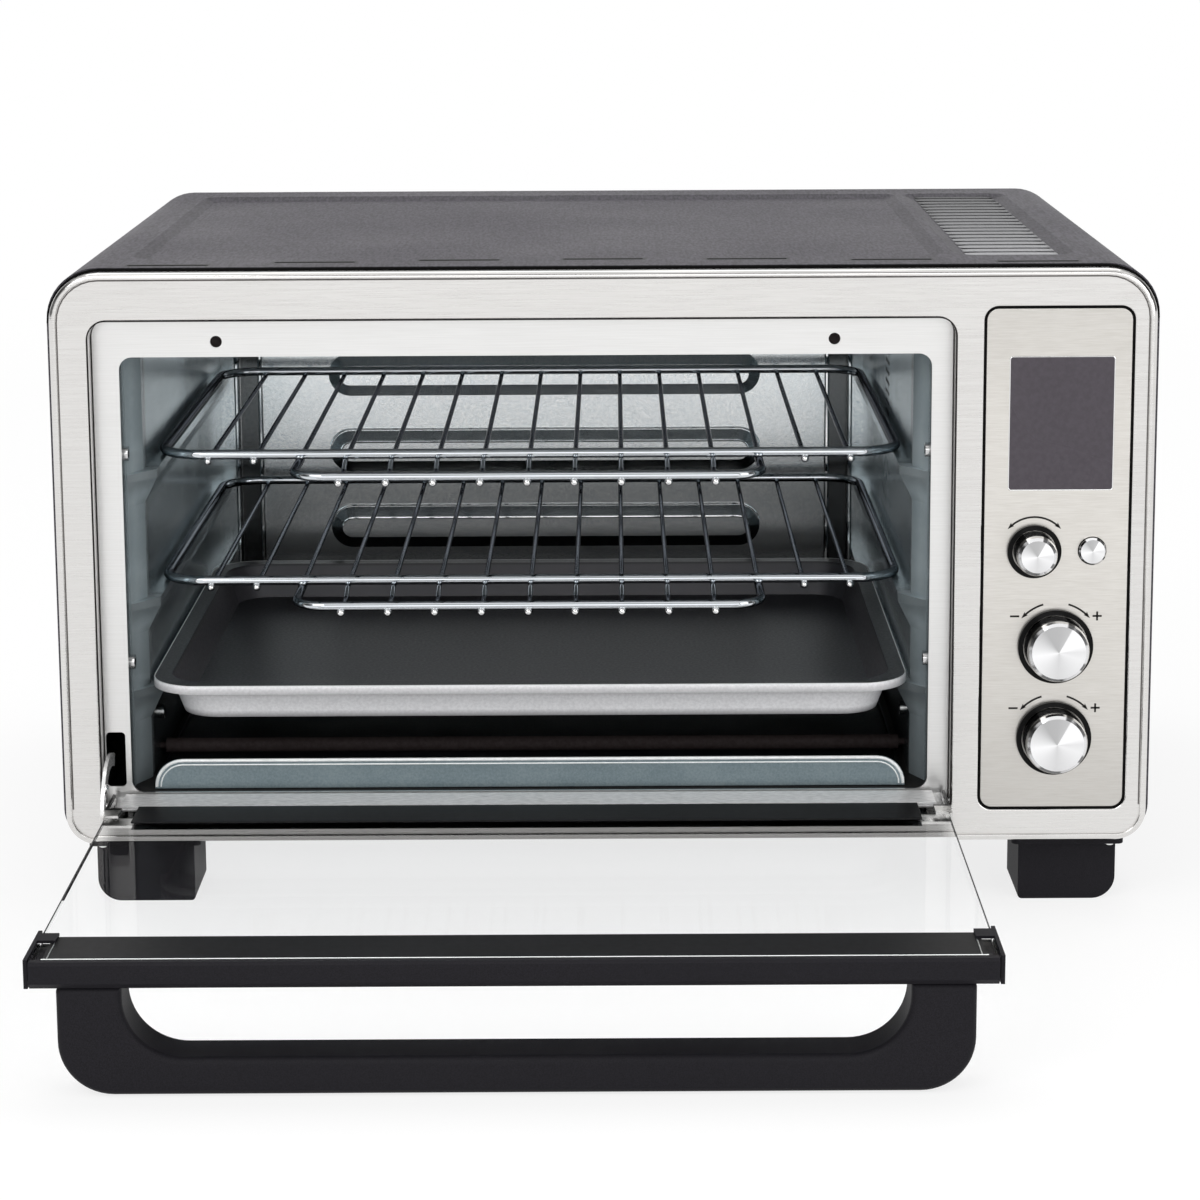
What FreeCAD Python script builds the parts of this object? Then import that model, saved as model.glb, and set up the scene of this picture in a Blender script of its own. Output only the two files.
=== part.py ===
import FreeCAD, Part
import math
import os
import Sketcher
from FreeCAD import Placement, Rotation, Vector

# Convection toaster oven, in millimetres.
# +X is to the viewer's right, +Y goes from the front to the back, +Z is up, and the feet stand at z = 0.
# Places along Y are measured from the face of the front frame. The row's origin is under the middle of the
# whole part with its door open, so every piece is moved by front_y, which is worked out below.
# The door is modelled open, which is the pose of the photograph.

doc = FreeCAD.newDocument("ConvectionToasterOven")
sheet = doc.addObject("Spreadsheet::Sheet", "Sizes")

DRIVING_SIZES = [
    # name, value, meaning
    ("case_width", 500.0, "width of the front frame"),
    ("case_height", 267.0, "height of the front frame"),
    ("case_depth", 346.0, "front frame's face to the rear panel's outer face"),
    ("foot_height", 35.0, "floor to the underside of the front frame"),
    ("foot_width", 45.6, "width of a foot"),
    ("foot_length", 40.0, "length of a foot, front to back"),
    ("foot_front_y", 20.0, "front frame's face to the front feet"),
    ("foot_side_inset", 10.5, "side of the frame to the side of a foot"),
    ("foot_round", 11.0, "radius of a foot's outer lower edge"),
    ("foot_edge", 2.0, "radius of a foot's inner lower edge"),
    ("frame_depth", 14.0, "depth of the front frame's rim"),
    ("frame_skin", 1.2, "wall of the front frame"),
    ("frame_corner_top", 22.5, "outer radius of the frame's upper corners"),
    ("frame_corner_bottom", 14.0, "outer radius of the frame's lower corners"),
    ("bead_width", 3.2, "width of the rolled bead round the frame"),
    ("bead_round", 2.4, "radius of the bead's outer edge"),
    ("edge_round", 0.9, "radius of the frame's edges round its two openings"),
    ("bead_rise", 1.2, "how far the bead stands before the face"),
    ("recess_left", -233.0, "left side of the door recess"),
    ("recess_width", 392.5, "width of the door recess"),
    ("recess_low", 11.0, "frame's underside to the recess"),
    ("recess_height", 234.0, "height of the door recess"),
    ("recess_corner", 9.0, "upper corner radius of the door recess"),
    ("recess_corner_low", 5.0, "lower corner radius of the door recess"),
    ("recess_depth", 10.0, "frame face to inner panel"),
    ("window_left", -220.5, "left side of the cavity's mouth"),
    ("window_width", 370.0, "width of the cavity's mouth"),
    ("window_low", 22.0, "frame's underside to the cavity's mouth"),
    ("window_height", 205.0, "height of the cavity's mouth"),
    ("window_corner", 6.0, "corner radius of the cavity's mouth"),
    ("inner_panel_skin", 1.0, "thickness of the inner front panel"),
    ("latch_hole_radius", 2.7, "radius of the two holes over the mouth"),
    ("latch_hole_inset", 44.5, "side of the mouth to a latch hole"),
    ("latch_hole_rise", 7.0, "top of the mouth to the latch holes"),
    ("shell_skin", 0.8, "sheet of the outer shell"),
    ("shell_gap", 0.2, "gap between the frame's rim and the shell over it"),
    ("shell_side_gap", 1.7, "gap between the frame's rim and the shell's sides"),
    ("shell_front_y", 10.0, "frame face to the shell's front edge"),
    ("shell_return", 14.0, "width of the shell's inward flange under the case"),
    ("dish_depth", 2.0, "depth of the pressed dishes in the top"),
    ("dish_ramp", 6.0, "width of a dish's sloped edge"),
    ("dish_front_y", 42.0, "front edge of the dishes"),
    ("dish_back_y", 320.0, "rear edge of the dishes"),
    ("dish_side", 219.0, "centre line to the outer side of the dishes"),
    ("dish_split", 159.0, "centre line to the ridge between the dishes"),
    ("dish_ridge", 4.0, "width of the ridge between the dishes"),
    ("dish_corner", 10.0, "corner radius of the dishes"),
    ("front_slot_length", 37.0, "length of a slot along the front of the top"),
    ("front_slot_width", 3.0, "width of a slot along the front of the top"),
    ("front_slot_pitch", 66.0, "spacing of the slots along the front of the top"),
    ("front_slot_bow", 16.0, "how far the middle slot lies behind the end ones"),
    ("front_slot_y", 18.0, "front frame's face to the end slots"),
    ("louvre_length", 42.0, "length of a slot in the top vent"),
    ("louvre_width", 4.6, "width of a slot in the top vent"),
    ("louvre_pitch", 14.2, "spacing of the top vent's slots"),
    ("rear_skin", 1.0, "thickness of the rear panel"),
    ("rear_slot_length", 60.0, "length of a rear vent slot"),
    ("rear_slot_width", 4.0, "width of a rear vent slot"),
    ("rear_slot_pitch", 11.0, "spacing of the rear vent slots"),
    ("rear_rows_left", -120.0, "centre line to the middle of the left row of rear slots"),
    ("rear_rows_right", 170.0, "centre line to the middle of the right row of rear slots"),
    ("base_skin", 1.0, "thickness of the base plate"),
    ("liner_skin", 0.8, "sheet of the cavity's walls"),
    ("liner_gap", 0.3, "gap between neighbouring pressed sheets"),
    ("cavity_depth", 311.0, "mouth to the cavity's back wall"),
    ("roof_rise", 10.0, "top of the mouth to the cavity's roof"),
    ("liner_inset", 6.0, "side of the mouth to the cavity's side wall"),
    ("liner_lip", 12.0, "length of the flat lip of a side wall behind the mouth"),
    ("liner_flare", 12.0, "length of the slanted step behind that lip"),
    ("ledge_reach", 12.0, "side of the mouth to the edge of a rack ledge"),
    ("ledge_height", 16.0, "height of a pressed rack ledge"),
    ("ledge_lip", 4.0, "height of a ledge's upright edge"),
    ("boss_length", 240.0, "length of a rib in the back wall"),
    ("boss_height", 24.0, "height of a rib in the back wall"),
    ("boss_rise", 4.0, "how far a rib stands from the back wall"),
    ("boss_slope", 6.5, "width of a rib's sloped edge"),
    ("boss_left", -154.0, "left end of the ribs in the back wall"),
    ("boss_upper_z", 168.4, "frame's underside to the upper rib"),
    ("boss_middle_z", 125.5, "frame's underside to the middle rib"),
    ("boss_lower_z", 82.3, "frame's underside to the lower rib"),
    ("channel_width", 11.0, "width of an upright channel in the back wall"),
    ("channel_depth", 5.0, "depth of an upright channel in the back wall"),
    ("channel_left", -204.0, "left side of the left channel"),
    ("channel_right", 135.0, "right side of the right channel"),
    ("wall_hole_radius", 1.8, "radius of the holes in the fan's side wall"),
    ("wall_hole_pitch", 9.0, "spacing of the holes in the fan's side wall"),
    ("heater_radius", 3.5, "radius of a heating element"),
    ("heater_pin_radius", 1.6, "radius of an element's cold end"),
    ("heater_low_z", 30.0, "frame's underside to the lower elements"),
    ("heater_top_z", 227.0, "frame's underside to the upper elements"),
    ("heater_front_y", 62.0, "front elements' distance from the face"),
    ("heater_rear_y", 250.0, "rear elements' distance from the face"),
    ("insulator_radius", 5.0, "radius of an element's ceramic bush"),
    ("insulator_length", 9.0, "length of an element's ceramic bush"),
    ("rack_left", -212.5, "left side of the racks"),
    ("rack_width", 354.0, "width of the racks"),
    ("rack_front_y", 55.0, "front of a rack's main loop"),
    ("rack_back_y", 308.0, "back of a rack's main loop"),
    ("rack_corner", 20.0, "corner radius of a rack's main loop"),
    ("rack_wire", 2.3, "radius of a rack's frame wire"),
    ("rack_rod", 1.2, "radius of a rack's cross rods"),
    ("rack_pitch", 21.7, "spacing of the cross rods"),
    ("rack_weld", 0.6, "how deep a rod is welded into the frame wire"),
    ("tongue_front_y", 15.0, "front of a rack's stepped tongue"),
    ("tongue_drop", 3.0, "step down to the tongue"),
    ("upper_rack_z", 173.0, "frame's underside to the upper rack"),
    ("lower_rack_z", 112.0, "frame's underside to the lower rack"),
    ("rack_play", 0.3, "clearance between a rack and its ledge"),
    ("rack_travel", 150.0, "how far a rack pulls out before it tips"),
    ("tray_length", 268.0, "baking tray, front to back over the rim"),
    ("tray_front_y", 12.0, "front of the baking tray"),
    ("tray_depth", 18.0, "depth of the baking tray"),
    ("tray_skin", 0.9, "sheet of the baking tray"),
    ("tray_rim", 8.0, "width of the baking tray's rim"),
    ("tray_lip", 4.0, "depth of the turned edge of the rim"),
    ("tray_taper", 6.0, "how far the tray's walls lean in"),
    ("tray_corner", 24.0, "corner radius of the tray's rim"),
    ("tray_z", 72.0, "frame's underside to the tray's rim"),
    ("crumb_width", 350.0, "width of the crumb tray"),
    ("crumb_length", 296.0, "length of the crumb tray"),
    ("crumb_flap", 14.0, "height of the crumb tray's front flap"),
    ("crumb_corner", 18.0, "corner radius of the crumb tray's flap"),
    ("crumb_edge", 3.0, "height of the crumb tray's side edges"),
    ("crumb_play", 0.4, "clearance under the crumb tray"),
    ("panel_width", 66.0, "width of the control panel"),
    ("panel_height", 233.0, "height of the control panel"),
    ("panel_x", 206.0, "centre line to the middle of the control panel"),
    ("panel_low", 15.8, "frame's underside to the control panel"),
    ("panel_corner", 5.5, "corner radius of the control panel"),
    ("panel_round", 0.4, "radius of the control panel's edge"),
    ("panel_gap", 0.9, "gap round the control panel"),
    ("panel_skin", 1.2, "thickness of the control panel"),
    ("panel_sink", 0.4, "how far the control panel lies behind the face"),
    ("display_width", 47.0, "width of the display window"),
    ("display_height", 61.0, "height of the display window"),
    ("display_x", 207.5, "middle of the display window"),
    ("display_z", 196.0, "frame's underside to the display's middle"),
    ("display_corner", 1.0, "corner radius of the display window"),
    ("window_play", 0.2, "gap round the display window"),
    ("function_x", 196.0, "axis of the function knob"),
    ("function_z", 137.0, "frame's underside to the function knob's axis"),
    ("button_x", 222.6, "axis of the start button"),
    ("big_knob_x", 206.5, "axis of the two large knobs"),
    ("temperature_z", 92.4, "frame's underside to the temperature knob's axis"),
    ("time_z", 49.0, "frame's underside to the time knob's axis"),
    ("small_knob_radius", 9.6, "radius of the function knob"),
    ("big_knob_radius", 14.5, "radius of the large knobs"),
    ("knob_height", 13.5, "how far the knobs stand out"),
    ("knob_ring_width", 2.3, "width of the dark ring round a knob"),
    ("knob_ring_height", 2.2, "how far a dark ring stands out"),
    ("knob_play", 0.4, "gap between a knob and its ring"),
    ("shaft_radius", 3.0, "radius of an encoder's shaft"),
    ("shaft_play", 0.05, "running clearance of a shaft"),
    ("encoder_size", 13.0, "side of an encoder's housing"),
    ("encoder_depth", 6.5, "depth of an encoder's housing"),
    ("button_radius", 6.3, "radius of the start button"),
    ("button_play", 0.3, "gap round the start button"),
    ("button_height", 2.6, "how far the start button stands out"),
    ("button_travel", 1.5, "travel of the start button"),
    ("board_skin", 1.6, "thickness of a circuit board"),
    ("board_y", 22.0, "frame face to the control board"),
    ("hinge_y", 4.0, "frame face to the door's axis"),
    ("hinge_z", 17.0, "frame's underside to the door's axis"),
    ("glass_left", -227.5, "left side of the door's glass"),
    ("glass_width", 383.5, "width of the door's glass"),
    ("glass_length", 221.0, "door's axis to the far edge of the glass"),
    ("glass_heel", 2.2, "door's axis to the near edge of the glass"),
    ("glass_skin", 4.0, "thickness of the door's glass"),
    ("glass_low", 0.2, "door's axis to the glass's outer face"),
    ("rail_depth", 18.0, "width of the steel rail on the glass"),
    ("rail_skin", 0.8, "sheet of the steel rail"),
    ("rail_inset", 4.5, "end of the glass to the end of the rail"),
    ("bracket_length", 34.0, "door's axis to the front of its corner brackets"),
    ("bracket_heel", 1.8, "door's axis to the back of its corner brackets"),
    ("bracket_tab_length", 12.0, "length of the tab that a bracket folds over the glass"),
    ("bracket_tab_width", 7.5, "width of the tab that a bracket folds over the glass"),
    ("bracket_shelf", 14.0, "width of a bracket's shelf under the glass"),
    ("glass_play", 0.1, "gap between the glass and the pieces that hold it"),
    ("pin_radius", 2.0, "radius of the door's pivot pins"),
    ("pin_play", 0.05, "running clearance of the pivot pins"),
    ("arm_radius", 22.0, "door's axis to the middle of the curved arm"),
    ("arm_width", 6.0, "width of the curved arm"),
    ("arm_skin", 1.6, "thickness of the curved arm"),
    ("arm_sweep", 118.0, "angle of the curved arm, in degrees"),
    ("arm_inset", 2.5, "side of the recess to the curved arm"),
    ("hinge_slot_width", 9.0, "width of the slot that the arm passes"),
    ("trim_depth", 33.0, "width of the black trim on the door"),
    ("trim_height", 6.5, "thickness of the black trim"),
    ("trim_skin", 2.2, "wall of the black trim"),
    ("trim_nose", 3.2, "glass's far edge to the trim's front"),
    ("trim_cell", 14.0, "spacing of the ribs moulded in the trim"),
    ("handle_width", 364.0, "outer width of the handle"),
    ("handle_left", -217.0, "left side of the handle"),
    ("handle_leg", 26.0, "width of a handle leg"),
    ("handle_bar", 15.5, "height of the handle's bar"),
    ("handle_depth", 22.5, "thickness of the handle"),
    ("handle_floor_gap", 0.8, "floor to the open door's handle"),
    ("handle_corner", 22.0, "outer radius of the handle"),
    ("handle_inner_corner", 24.0, "inner radius of the handle"),
    ("handle_round", 3.0, "radius of the handle's edges"),
    ("screw_radius", 1.8, "radius of a screw's shank"),
    ("screw_head_radius", 3.4, "radius of a screw's head"),
    ("screw_head_height", 2.0, "height of a screw's head"),
    ("screw_grip", 0.05, "clearance round a screw's shank"),
    ("fan_radius", 42.0, "radius of the convection fan's wheel"),
    ("fan_depth", 12.0, "depth of the fan's blades"),
    ("fan_blade_length", 26.0, "length of a fan blade"),
    ("fan_blade_root", 15.1, "fan's axis to the root of a blade"),
    ("fan_blade_shift", 3.0, "how far a blade stands beside its radius"),
    ("fan_y", 170.0, "frame face to the fan's axis"),
    ("fan_z", 120.0, "frame's underside to the fan's axis"),
    ("motor_radius", 24.0, "radius of the fan's motor"),
    ("motor_length", 30.0, "length of the fan's motor"),
    ("fan_wall_gap", 3.0, "side wall to the fan's wheel"),
    ("fan_shaft_radius", 2.5, "radius of the fan's shaft"),
    ("bracket_skin", 1.2, "sheet of brackets"),
    ("probe_radius", 2.0, "radius of the temperature probe"),
    ("probe_length", 22.0, "how far the probe reaches into the cavity"),
    ("gland_radius", 7.0, "radius of the supply cord's gland"),
    ("gland_bore", 3.6, "bore of the supply cord's gland"),
    ("gland_stand", 9.0, "how far the gland stands out"),
    ("gland_inset", 40.0, "side of the frame to the gland's axis"),
    ("gland_z", 32.0, "frame's underside to the gland's axis"),
]

COUNTS = {
    "front_slots": 7,
    "louvres": 19,
    "rear_slots": 14,
    "cross_rods": 15,
    "tongue_rods": 9,
    "wall_holes": (1, 6, 12, 18),
    "fan_blades": 8,
}


class Size:
    """A length that carries its value and the sheet formula that gives it."""

    def __init__(self, value, text):
        self.value = float(value)
        self.text = text

    def _with(self, other, sign, swap=False):
        theirs = other if isinstance(other, Size) else Size(other, f"{float(other):.6g}")
        first, second = (theirs, self) if swap else (self, theirs)
        results = {
            "+": first.value + second.value,
            "-": first.value - second.value,
            "*": first.value * second.value,
        }
        value = results[sign] if sign in results else first.value / second.value
        return Size(value, f"({first.text} {sign} {second.text})")

    def __add__(self, other):
        return self._with(other, "+")

    def __radd__(self, other):
        return self._with(other, "+", True)

    def __sub__(self, other):
        return self._with(other, "-")

    def __rsub__(self, other):
        return self._with(other, "-", True)

    def __mul__(self, other):
        return self._with(other, "*")

    def __rmul__(self, other):
        return self._with(other, "*", True)

    def __truediv__(self, other):
        return self._with(other, "/")

    def __neg__(self):
        return Size(-self.value, f"(-1 * {self.text})")

    def __float__(self):
        return self.value


class Names:
    """Holds one Size for each cell of the sheet."""


d = Names()
for row, (name, value, meaning) in enumerate(DRIVING_SIZES, 1):
    sheet.set(f"A{row}", name)
    sheet.set(f"B{row}", f"{value:g}")
    sheet.set(f"C{row}", meaning)
    sheet.setAlias(f"B{row}", name)
    setattr(d, name, Size(value, f"Sizes.{name}"))
doc.recompute()

# Heights above the floor and other places that several pieces share
frame_z = d.foot_height
frame_top_z = frame_z + d.case_height
recess_z = frame_z + d.recess_low
recess_right = d.recess_left + d.recess_width
window_z = frame_z + d.window_low
window_top_z = window_z + d.window_height
window_right = d.window_left + d.window_width
wall_left = d.window_left + d.liner_inset
wall_right = window_right - d.liner_inset
mouth_y = d.recess_depth + d.inner_panel_skin
back_wall_y = mouth_y + d.cavity_depth
roof_z = window_top_z + d.roof_rise
hinge_z = frame_z + d.hinge_z
glass_z = hinge_z + d.glass_low
glass_top_z = glass_z + d.glass_skin
glass_far_y = d.hinge_y - d.glass_length
glass_near_y = d.hinge_y + d.glass_heel
glass_right = d.glass_left + d.glass_width
door_front_y = glass_far_y - d.trim_nose
panel_z = frame_z + d.panel_low
panel_mid_z = panel_z + d.panel_height / 2
panel_face_y = d.panel_sink
panel_back_y = d.panel_sink + d.panel_skin
shell_out = d.shell_gap + d.shell_skin
shell_width = d.case_width + 2 * (d.shell_side_gap + d.shell_skin)
shell_size = [shell_width, d.case_height + 2 * shell_out]
shell_rims = [rim + shell_out for rim in (d.frame_corner_top, d.frame_corner_bottom)]
front_y = (-1 * (d.case_depth + d.gland_stand + door_front_y)) / 2

pieces = []


def bind(thing, path, size):
    """Sets a property, through the sheet where the size comes from it."""
    if isinstance(size, Size):
        thing.setExpression(path, size.text)
    else:
        thing.setExpression(path, f"{float(size):.6g}")


def point(x, y, z):
    return Vector(float(x), float(y), float(z))


def keep(thing, label=None):
    """Marks an object as a finished sub-part, which is written out under its label."""
    if label:
        thing.Label = label
    pieces.append(thing)
    return thing


# Sketches and features of PartDesign bodies

VIEWS = {"front": "XZ_Plane", "top": "XY_Plane", "side": "YZ_Plane"}


def new_body(label):
    body = doc.addObject("PartDesign::Body", label)
    bind(body, "Placement.Base.y", front_y)
    return keep(body, label)


def new_sketch(body, view, x, y, z):
    """A sketch on one of the body's origin planes. Its own origin is at x, y, z."""
    plane = [f for f in body.Origin.OriginFeatures if f.Role == VIEWS[view]][0]
    sketch = body.newObject("Sketcher::SketchObject", f"{body.Name}_sketch")
    sketch.AttachmentSupport = [(plane, "")]
    sketch.MapMode = "FlatFace"
    offsets = {"front": (x, z, -1 * y), "top": (x, y, z), "side": (y, z, x)}[view]
    for axis, offset in zip("xyz", offsets):
        bind(sketch, f"AttachmentOffset.Base.{axis}", offset)
    return sketch


def dimension(sketch, kind, size, *where):
    index = sketch.addConstraint(Sketcher.Constraint(kind, *where, float(size)))
    bind(sketch, f"Constraints[{index}]", size)


def rounded_rectangle(body, view, x, y, z, width, height, corner, lower_corner=None):
    """A rectangle about x, y, z with round corners. The lower corners can have a radius of their own."""
    sketch = new_sketch(body, view, x, y, z)
    w, h, upper = float(width) / 2, float(height) / 2, float(corner)
    lower = upper if lower_corner is None else float(lower_corner)
    lines = [
        ((-w + lower, -h), (w - lower, -h)),
        ((w, -h + lower), (w, h - upper)),
        ((w - upper, h), (-w + upper, h)),
        ((-w, h - upper), (-w, -h + lower)),
    ]
    for start, end in lines:
        sketch.addGeometry(Part.LineSegment(Vector(*start, 0), Vector(*end, 0)))
    arcs = [
        ((w - lower, -h + lower), lower, -90),
        ((w - upper, h - upper), upper, 0),
        ((-w + upper, h - upper), upper, 90),
        ((-w + lower, -h + lower), lower, 180),
    ]
    for centre, radius, start in arcs:
        circle = Part.Circle(Vector(*centre, 0), Vector(0, 0, 1), radius)
        sketch.addGeometry(Part.ArcOfCircle(circle, math.radians(start), math.radians(start + 90)))
    for side in range(4):
        sketch.addConstraint(Sketcher.Constraint("Tangent", side, 2, 4 + side, 1))
        sketch.addConstraint(Sketcher.Constraint("Tangent", 4 + side, 2, (side + 1) % 4, 1))
    sketch.addConstraint(Sketcher.Constraint("Horizontal", 0))
    sketch.addConstraint(Sketcher.Constraint("Horizontal", 2))
    sketch.addConstraint(Sketcher.Constraint("Vertical", 1))
    sketch.addConstraint(Sketcher.Constraint("Vertical", 3))
    sketch.addConstraint(Sketcher.Constraint("Equal", 5, 6))
    sketch.addConstraint(Sketcher.Constraint("Equal", 4, 7))
    dimension(sketch, "Radius", corner, 5)
    dimension(sketch, "Radius", corner if lower_corner is None else lower_corner, 4)
    dimension(sketch, "DistanceX", width / 2, -1, 1, 1, 1)
    dimension(sketch, "DistanceX", width / -2, -1, 1, 3, 1)
    dimension(sketch, "DistanceY", height / 2, -1, 1, 2, 1)
    dimension(sketch, "DistanceY", height / -2, -1, 1, 0, 1)
    return sketch


def circle(body, view, x, y, z, radius):
    sketch = new_sketch(body, view, x, y, z)
    sketch.addGeometry(Part.Circle(Vector(0, 0, 0), Vector(0, 0, 1), float(radius)))
    sketch.addConstraint(Sketcher.Constraint("Coincident", 0, 3, -1, 1))
    dimension(sketch, "Radius", radius, 0)
    return sketch


def circles(body, view, x, y, z, radius, spots):
    """Equal circles at spots, each two sizes from the sketch's origin at x, y, z."""
    sketch = new_sketch(body, view, x, y, z)
    for index, (across, up) in enumerate(spots):
        centre = Vector(float(across), float(up), 0)
        sketch.addGeometry(Part.Circle(centre, Vector(0, 0, 1), float(radius)))
        dimension(sketch, "DistanceX", across, -1, 1, index, 3)
        dimension(sketch, "DistanceY", up, -1, 1, index, 3)
        if index:
            sketch.addConstraint(Sketcher.Constraint("Equal", 0, index))
    dimension(sketch, "Radius", radius, 0)
    return sketch


def polygon(body, view, x, y, z, corners):
    """A closed outline through corners, each two sizes from the sketch's origin at x, y, z."""
    sketch = new_sketch(body, view, x, y, z)
    count = len(corners)
    for index in range(count):
        ends = [corners[index], corners[(index + 1) % count]]
        start, end = [Vector(float(a), float(b), 0) for a, b in ends]
        sketch.addGeometry(Part.LineSegment(start, end))
    for index in range(count):
        sketch.addConstraint(Sketcher.Constraint("Coincident", index, 2, (index + 1) % count, 1))
    for index, (across, up) in enumerate(corners):
        dimension(sketch, "DistanceX", across, -1, 1, index, 1)
        dimension(sketch, "DistanceY", up, -1, 1, index, 1)
    return sketch


def made(body, feature, *sketches):
    """Works out a new feature, after its sketches, and the body that it belongs to."""
    for thing in (*sketches, feature, body):
        thing.recompute()
        thing.purgeTouched()
    return feature


def pad(body, sketch, length):
    """Adds material: backwards from a front sketch, up from a top one, to the right from a side one."""
    feature = body.newObject("PartDesign::Pad", f"{body.Name}_pad")
    feature.Profile = sketch
    bind(feature, "Length", length)
    feature.Reversed = "XZ" in sketch.AttachmentSupport[0][0].Role
    return made(body, feature, sketch)


def pocket(body, sketch, length):
    """Removes material: backwards from a front sketch, down from a top one, to the left from a side one."""
    before = body.Shape.Volume
    feature = body.newObject("PartDesign::Pocket", f"{body.Name}_pocket")
    feature.Profile = sketch
    bind(feature, "Length", length)
    made(body, feature, sketch)
    if body.Shape.Volume >= before - 1e-6:
        raise ValueError(f"{feature.Name} of {body.Label} cuts nothing")
    return feature


def linear_pattern(body, feature, axis, pitch, count):
    """Repeats a feature along H_Axis or V_Axis of its own sketch."""
    pattern = body.newObject("PartDesign::LinearPattern", f"{body.Name}_row")
    pattern.Originals = [feature]
    pattern.Direction = (feature.Profile[0], [axis])
    pattern.Mode = "Spacing"
    bind(pattern, "Offset", pitch)
    pattern.Occurrences = count
    body.Tip = pattern
    return made(body, pattern)


def loft(body, kind, *sketches):
    feature = body.newObject(f"PartDesign::{kind}Loft", f"{body.Name}_loft")
    feature.Profile = sketches[0]
    feature.Sections = list(sketches[1:])
    feature.Ruled = True
    return made(body, feature, *sketches)


def revolve(body, sketch):
    """Turns a side sketch about its own horizontal axis, which runs along Y."""
    feature = body.newObject("PartDesign::Revolution", f"{body.Name}_turned")
    feature.Profile = sketch
    feature.ReferenceAxis = (sketch, ["H_Axis"])
    feature.Angle = 360.0
    return made(body, feature, sketch)


def fillet(body, radius, chosen):
    """Rounds the edges of the body for which chosen(edge) is true."""
    tip = body.Tip
    names = [f"Edge{n}" for n, edge in enumerate(tip.Shape.Edges, 1) if chosen(edge)]
    feature = body.newObject("PartDesign::Fillet", f"{body.Name}_round")
    feature.Base = (tip, names)
    bind(feature, "Radius", radius)
    return made(body, feature)


def runs_along(edge, axis, tolerance=1e-6):
    """Is this a straight edge parallel to axis?"""
    if edge.Curve.TypeId != "Part::GeomLine":
        return False
    return abs(abs(edge.tangentAt(edge.FirstParameter).dot(axis)) - 1) < tolerance


def level_edge(y, z):
    """Chooses the edge from side to side at y, z. Edges that run on from it without a corner go with it."""

    def chosen(edge):
        spot = edge.CenterOfMass
        return runs_along(edge, X_AXIS) and max(abs(spot.y - float(y)), abs(spot.z - float(z))) < 1e-5

    return chosen


X_AXIS, Y_AXIS, Z_AXIS = Vector(1, 0, 0), Vector(0, 1, 0), Vector(0, 0, 1)


# Part primitives and booleans

def box(label, x, y, z, dx, dy, dz):
    block = doc.addObject("Part::Box", label)
    for path, size in zip(("Length", "Width", "Height"), (dx, dy, dz)):
        bind(block, path, size)
    for axis, place in zip("xyz", (x, front_y + y, z)):
        bind(block, f"Placement.Base.{axis}", place)
    return block


TURNS = {
    "z": Rotation(),
    "x": Rotation(Vector(0, 1, 0), 90),
    "y": Rotation(Vector(1, 0, 0), -90),
}


def cylinder(label, axis, x, y, z, radius, length):
    """A cylinder from x, y, z towards +axis."""
    rod = doc.addObject("Part::Cylinder", label)
    rod.Placement = Placement(Vector(), TURNS[axis])
    bind(rod, "Radius", radius)
    bind(rod, "Height", length)
    for name, place in zip("xyz", (x, front_y + y, z)):
        bind(rod, f"Placement.Base.{name}", place)
    return rod


def fuse(label, *parts):
    whole = doc.addObject("Part::MultiFuse", label)
    whole.Shapes = list(parts)
    return whole


def cut(label, base, *tools):
    result = doc.addObject("Part::Cut", label)
    result.Base = base
    result.Tool = tools[0] if len(tools) == 1 else fuse(f"{label}_tools", *tools)
    return result


def group(label, parts):
    """Identical fasteners, as separate solids of one node."""
    whole = doc.addObject("Part::Compound", label)
    whole.Links = list(parts)
    return whole


def feature(label, shape):
    """A sub-part that Part's own functions make, drawn with the frame's face at y = 0."""
    thing = doc.addObject("Part::Feature", label)
    thing.Shape = shape
    thing.Placement = Placement(point(0, front_y, 0), Rotation()).multiply(shape.Placement)
    return keep(thing, label)


def wire_loop(left, right, near, far, z, corner):
    """A flat rounded rectangle as one wire, with its start in the middle of the near side."""
    left, right, near, far, z, corner = [float(n) for n in (left, right, near, far, z, corner)]
    middle = (left + right) / 2
    bend = corner * (1 - math.sqrt(0.5))
    edges = [Part.LineSegment(Vector(middle, near, z), Vector(right - corner, near, z))]
    turns = [
        ((right - corner, near), (right - bend, near + bend), (right, near + corner)),
        ((right, far - corner), (right - bend, far - bend), (right - corner, far)),
        ((left + corner, far), (left + bend, far - bend), (left, far - corner)),
        ((left, near + corner), (left + bend, near + bend), (left + corner, near)),
    ]
    for turn, (start, mid, end) in enumerate(turns):
        edges.append(Part.Arc(*[Vector(*p, z) for p in (start, mid, end)]))
        goes_to = turns[turn + 1][0] if turn < 3 else (middle, near)
        edges.append(Part.LineSegment(Vector(*end, z), Vector(*goes_to, z)))
    return Part.Wire([e.toShape() for e in edges])


def tube_along(path, radius):
    """A round wire swept along a path."""
    start = path.Edges[0]
    origin = start.valueAt(start.FirstParameter)
    along = start.tangentAt(start.FirstParameter)
    ring = Part.Wire([Part.Circle(origin, along, float(radius)).toShape()])
    return path.makePipeShell([ring], True, False)


# Front frame, inner panel and outer shell

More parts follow.
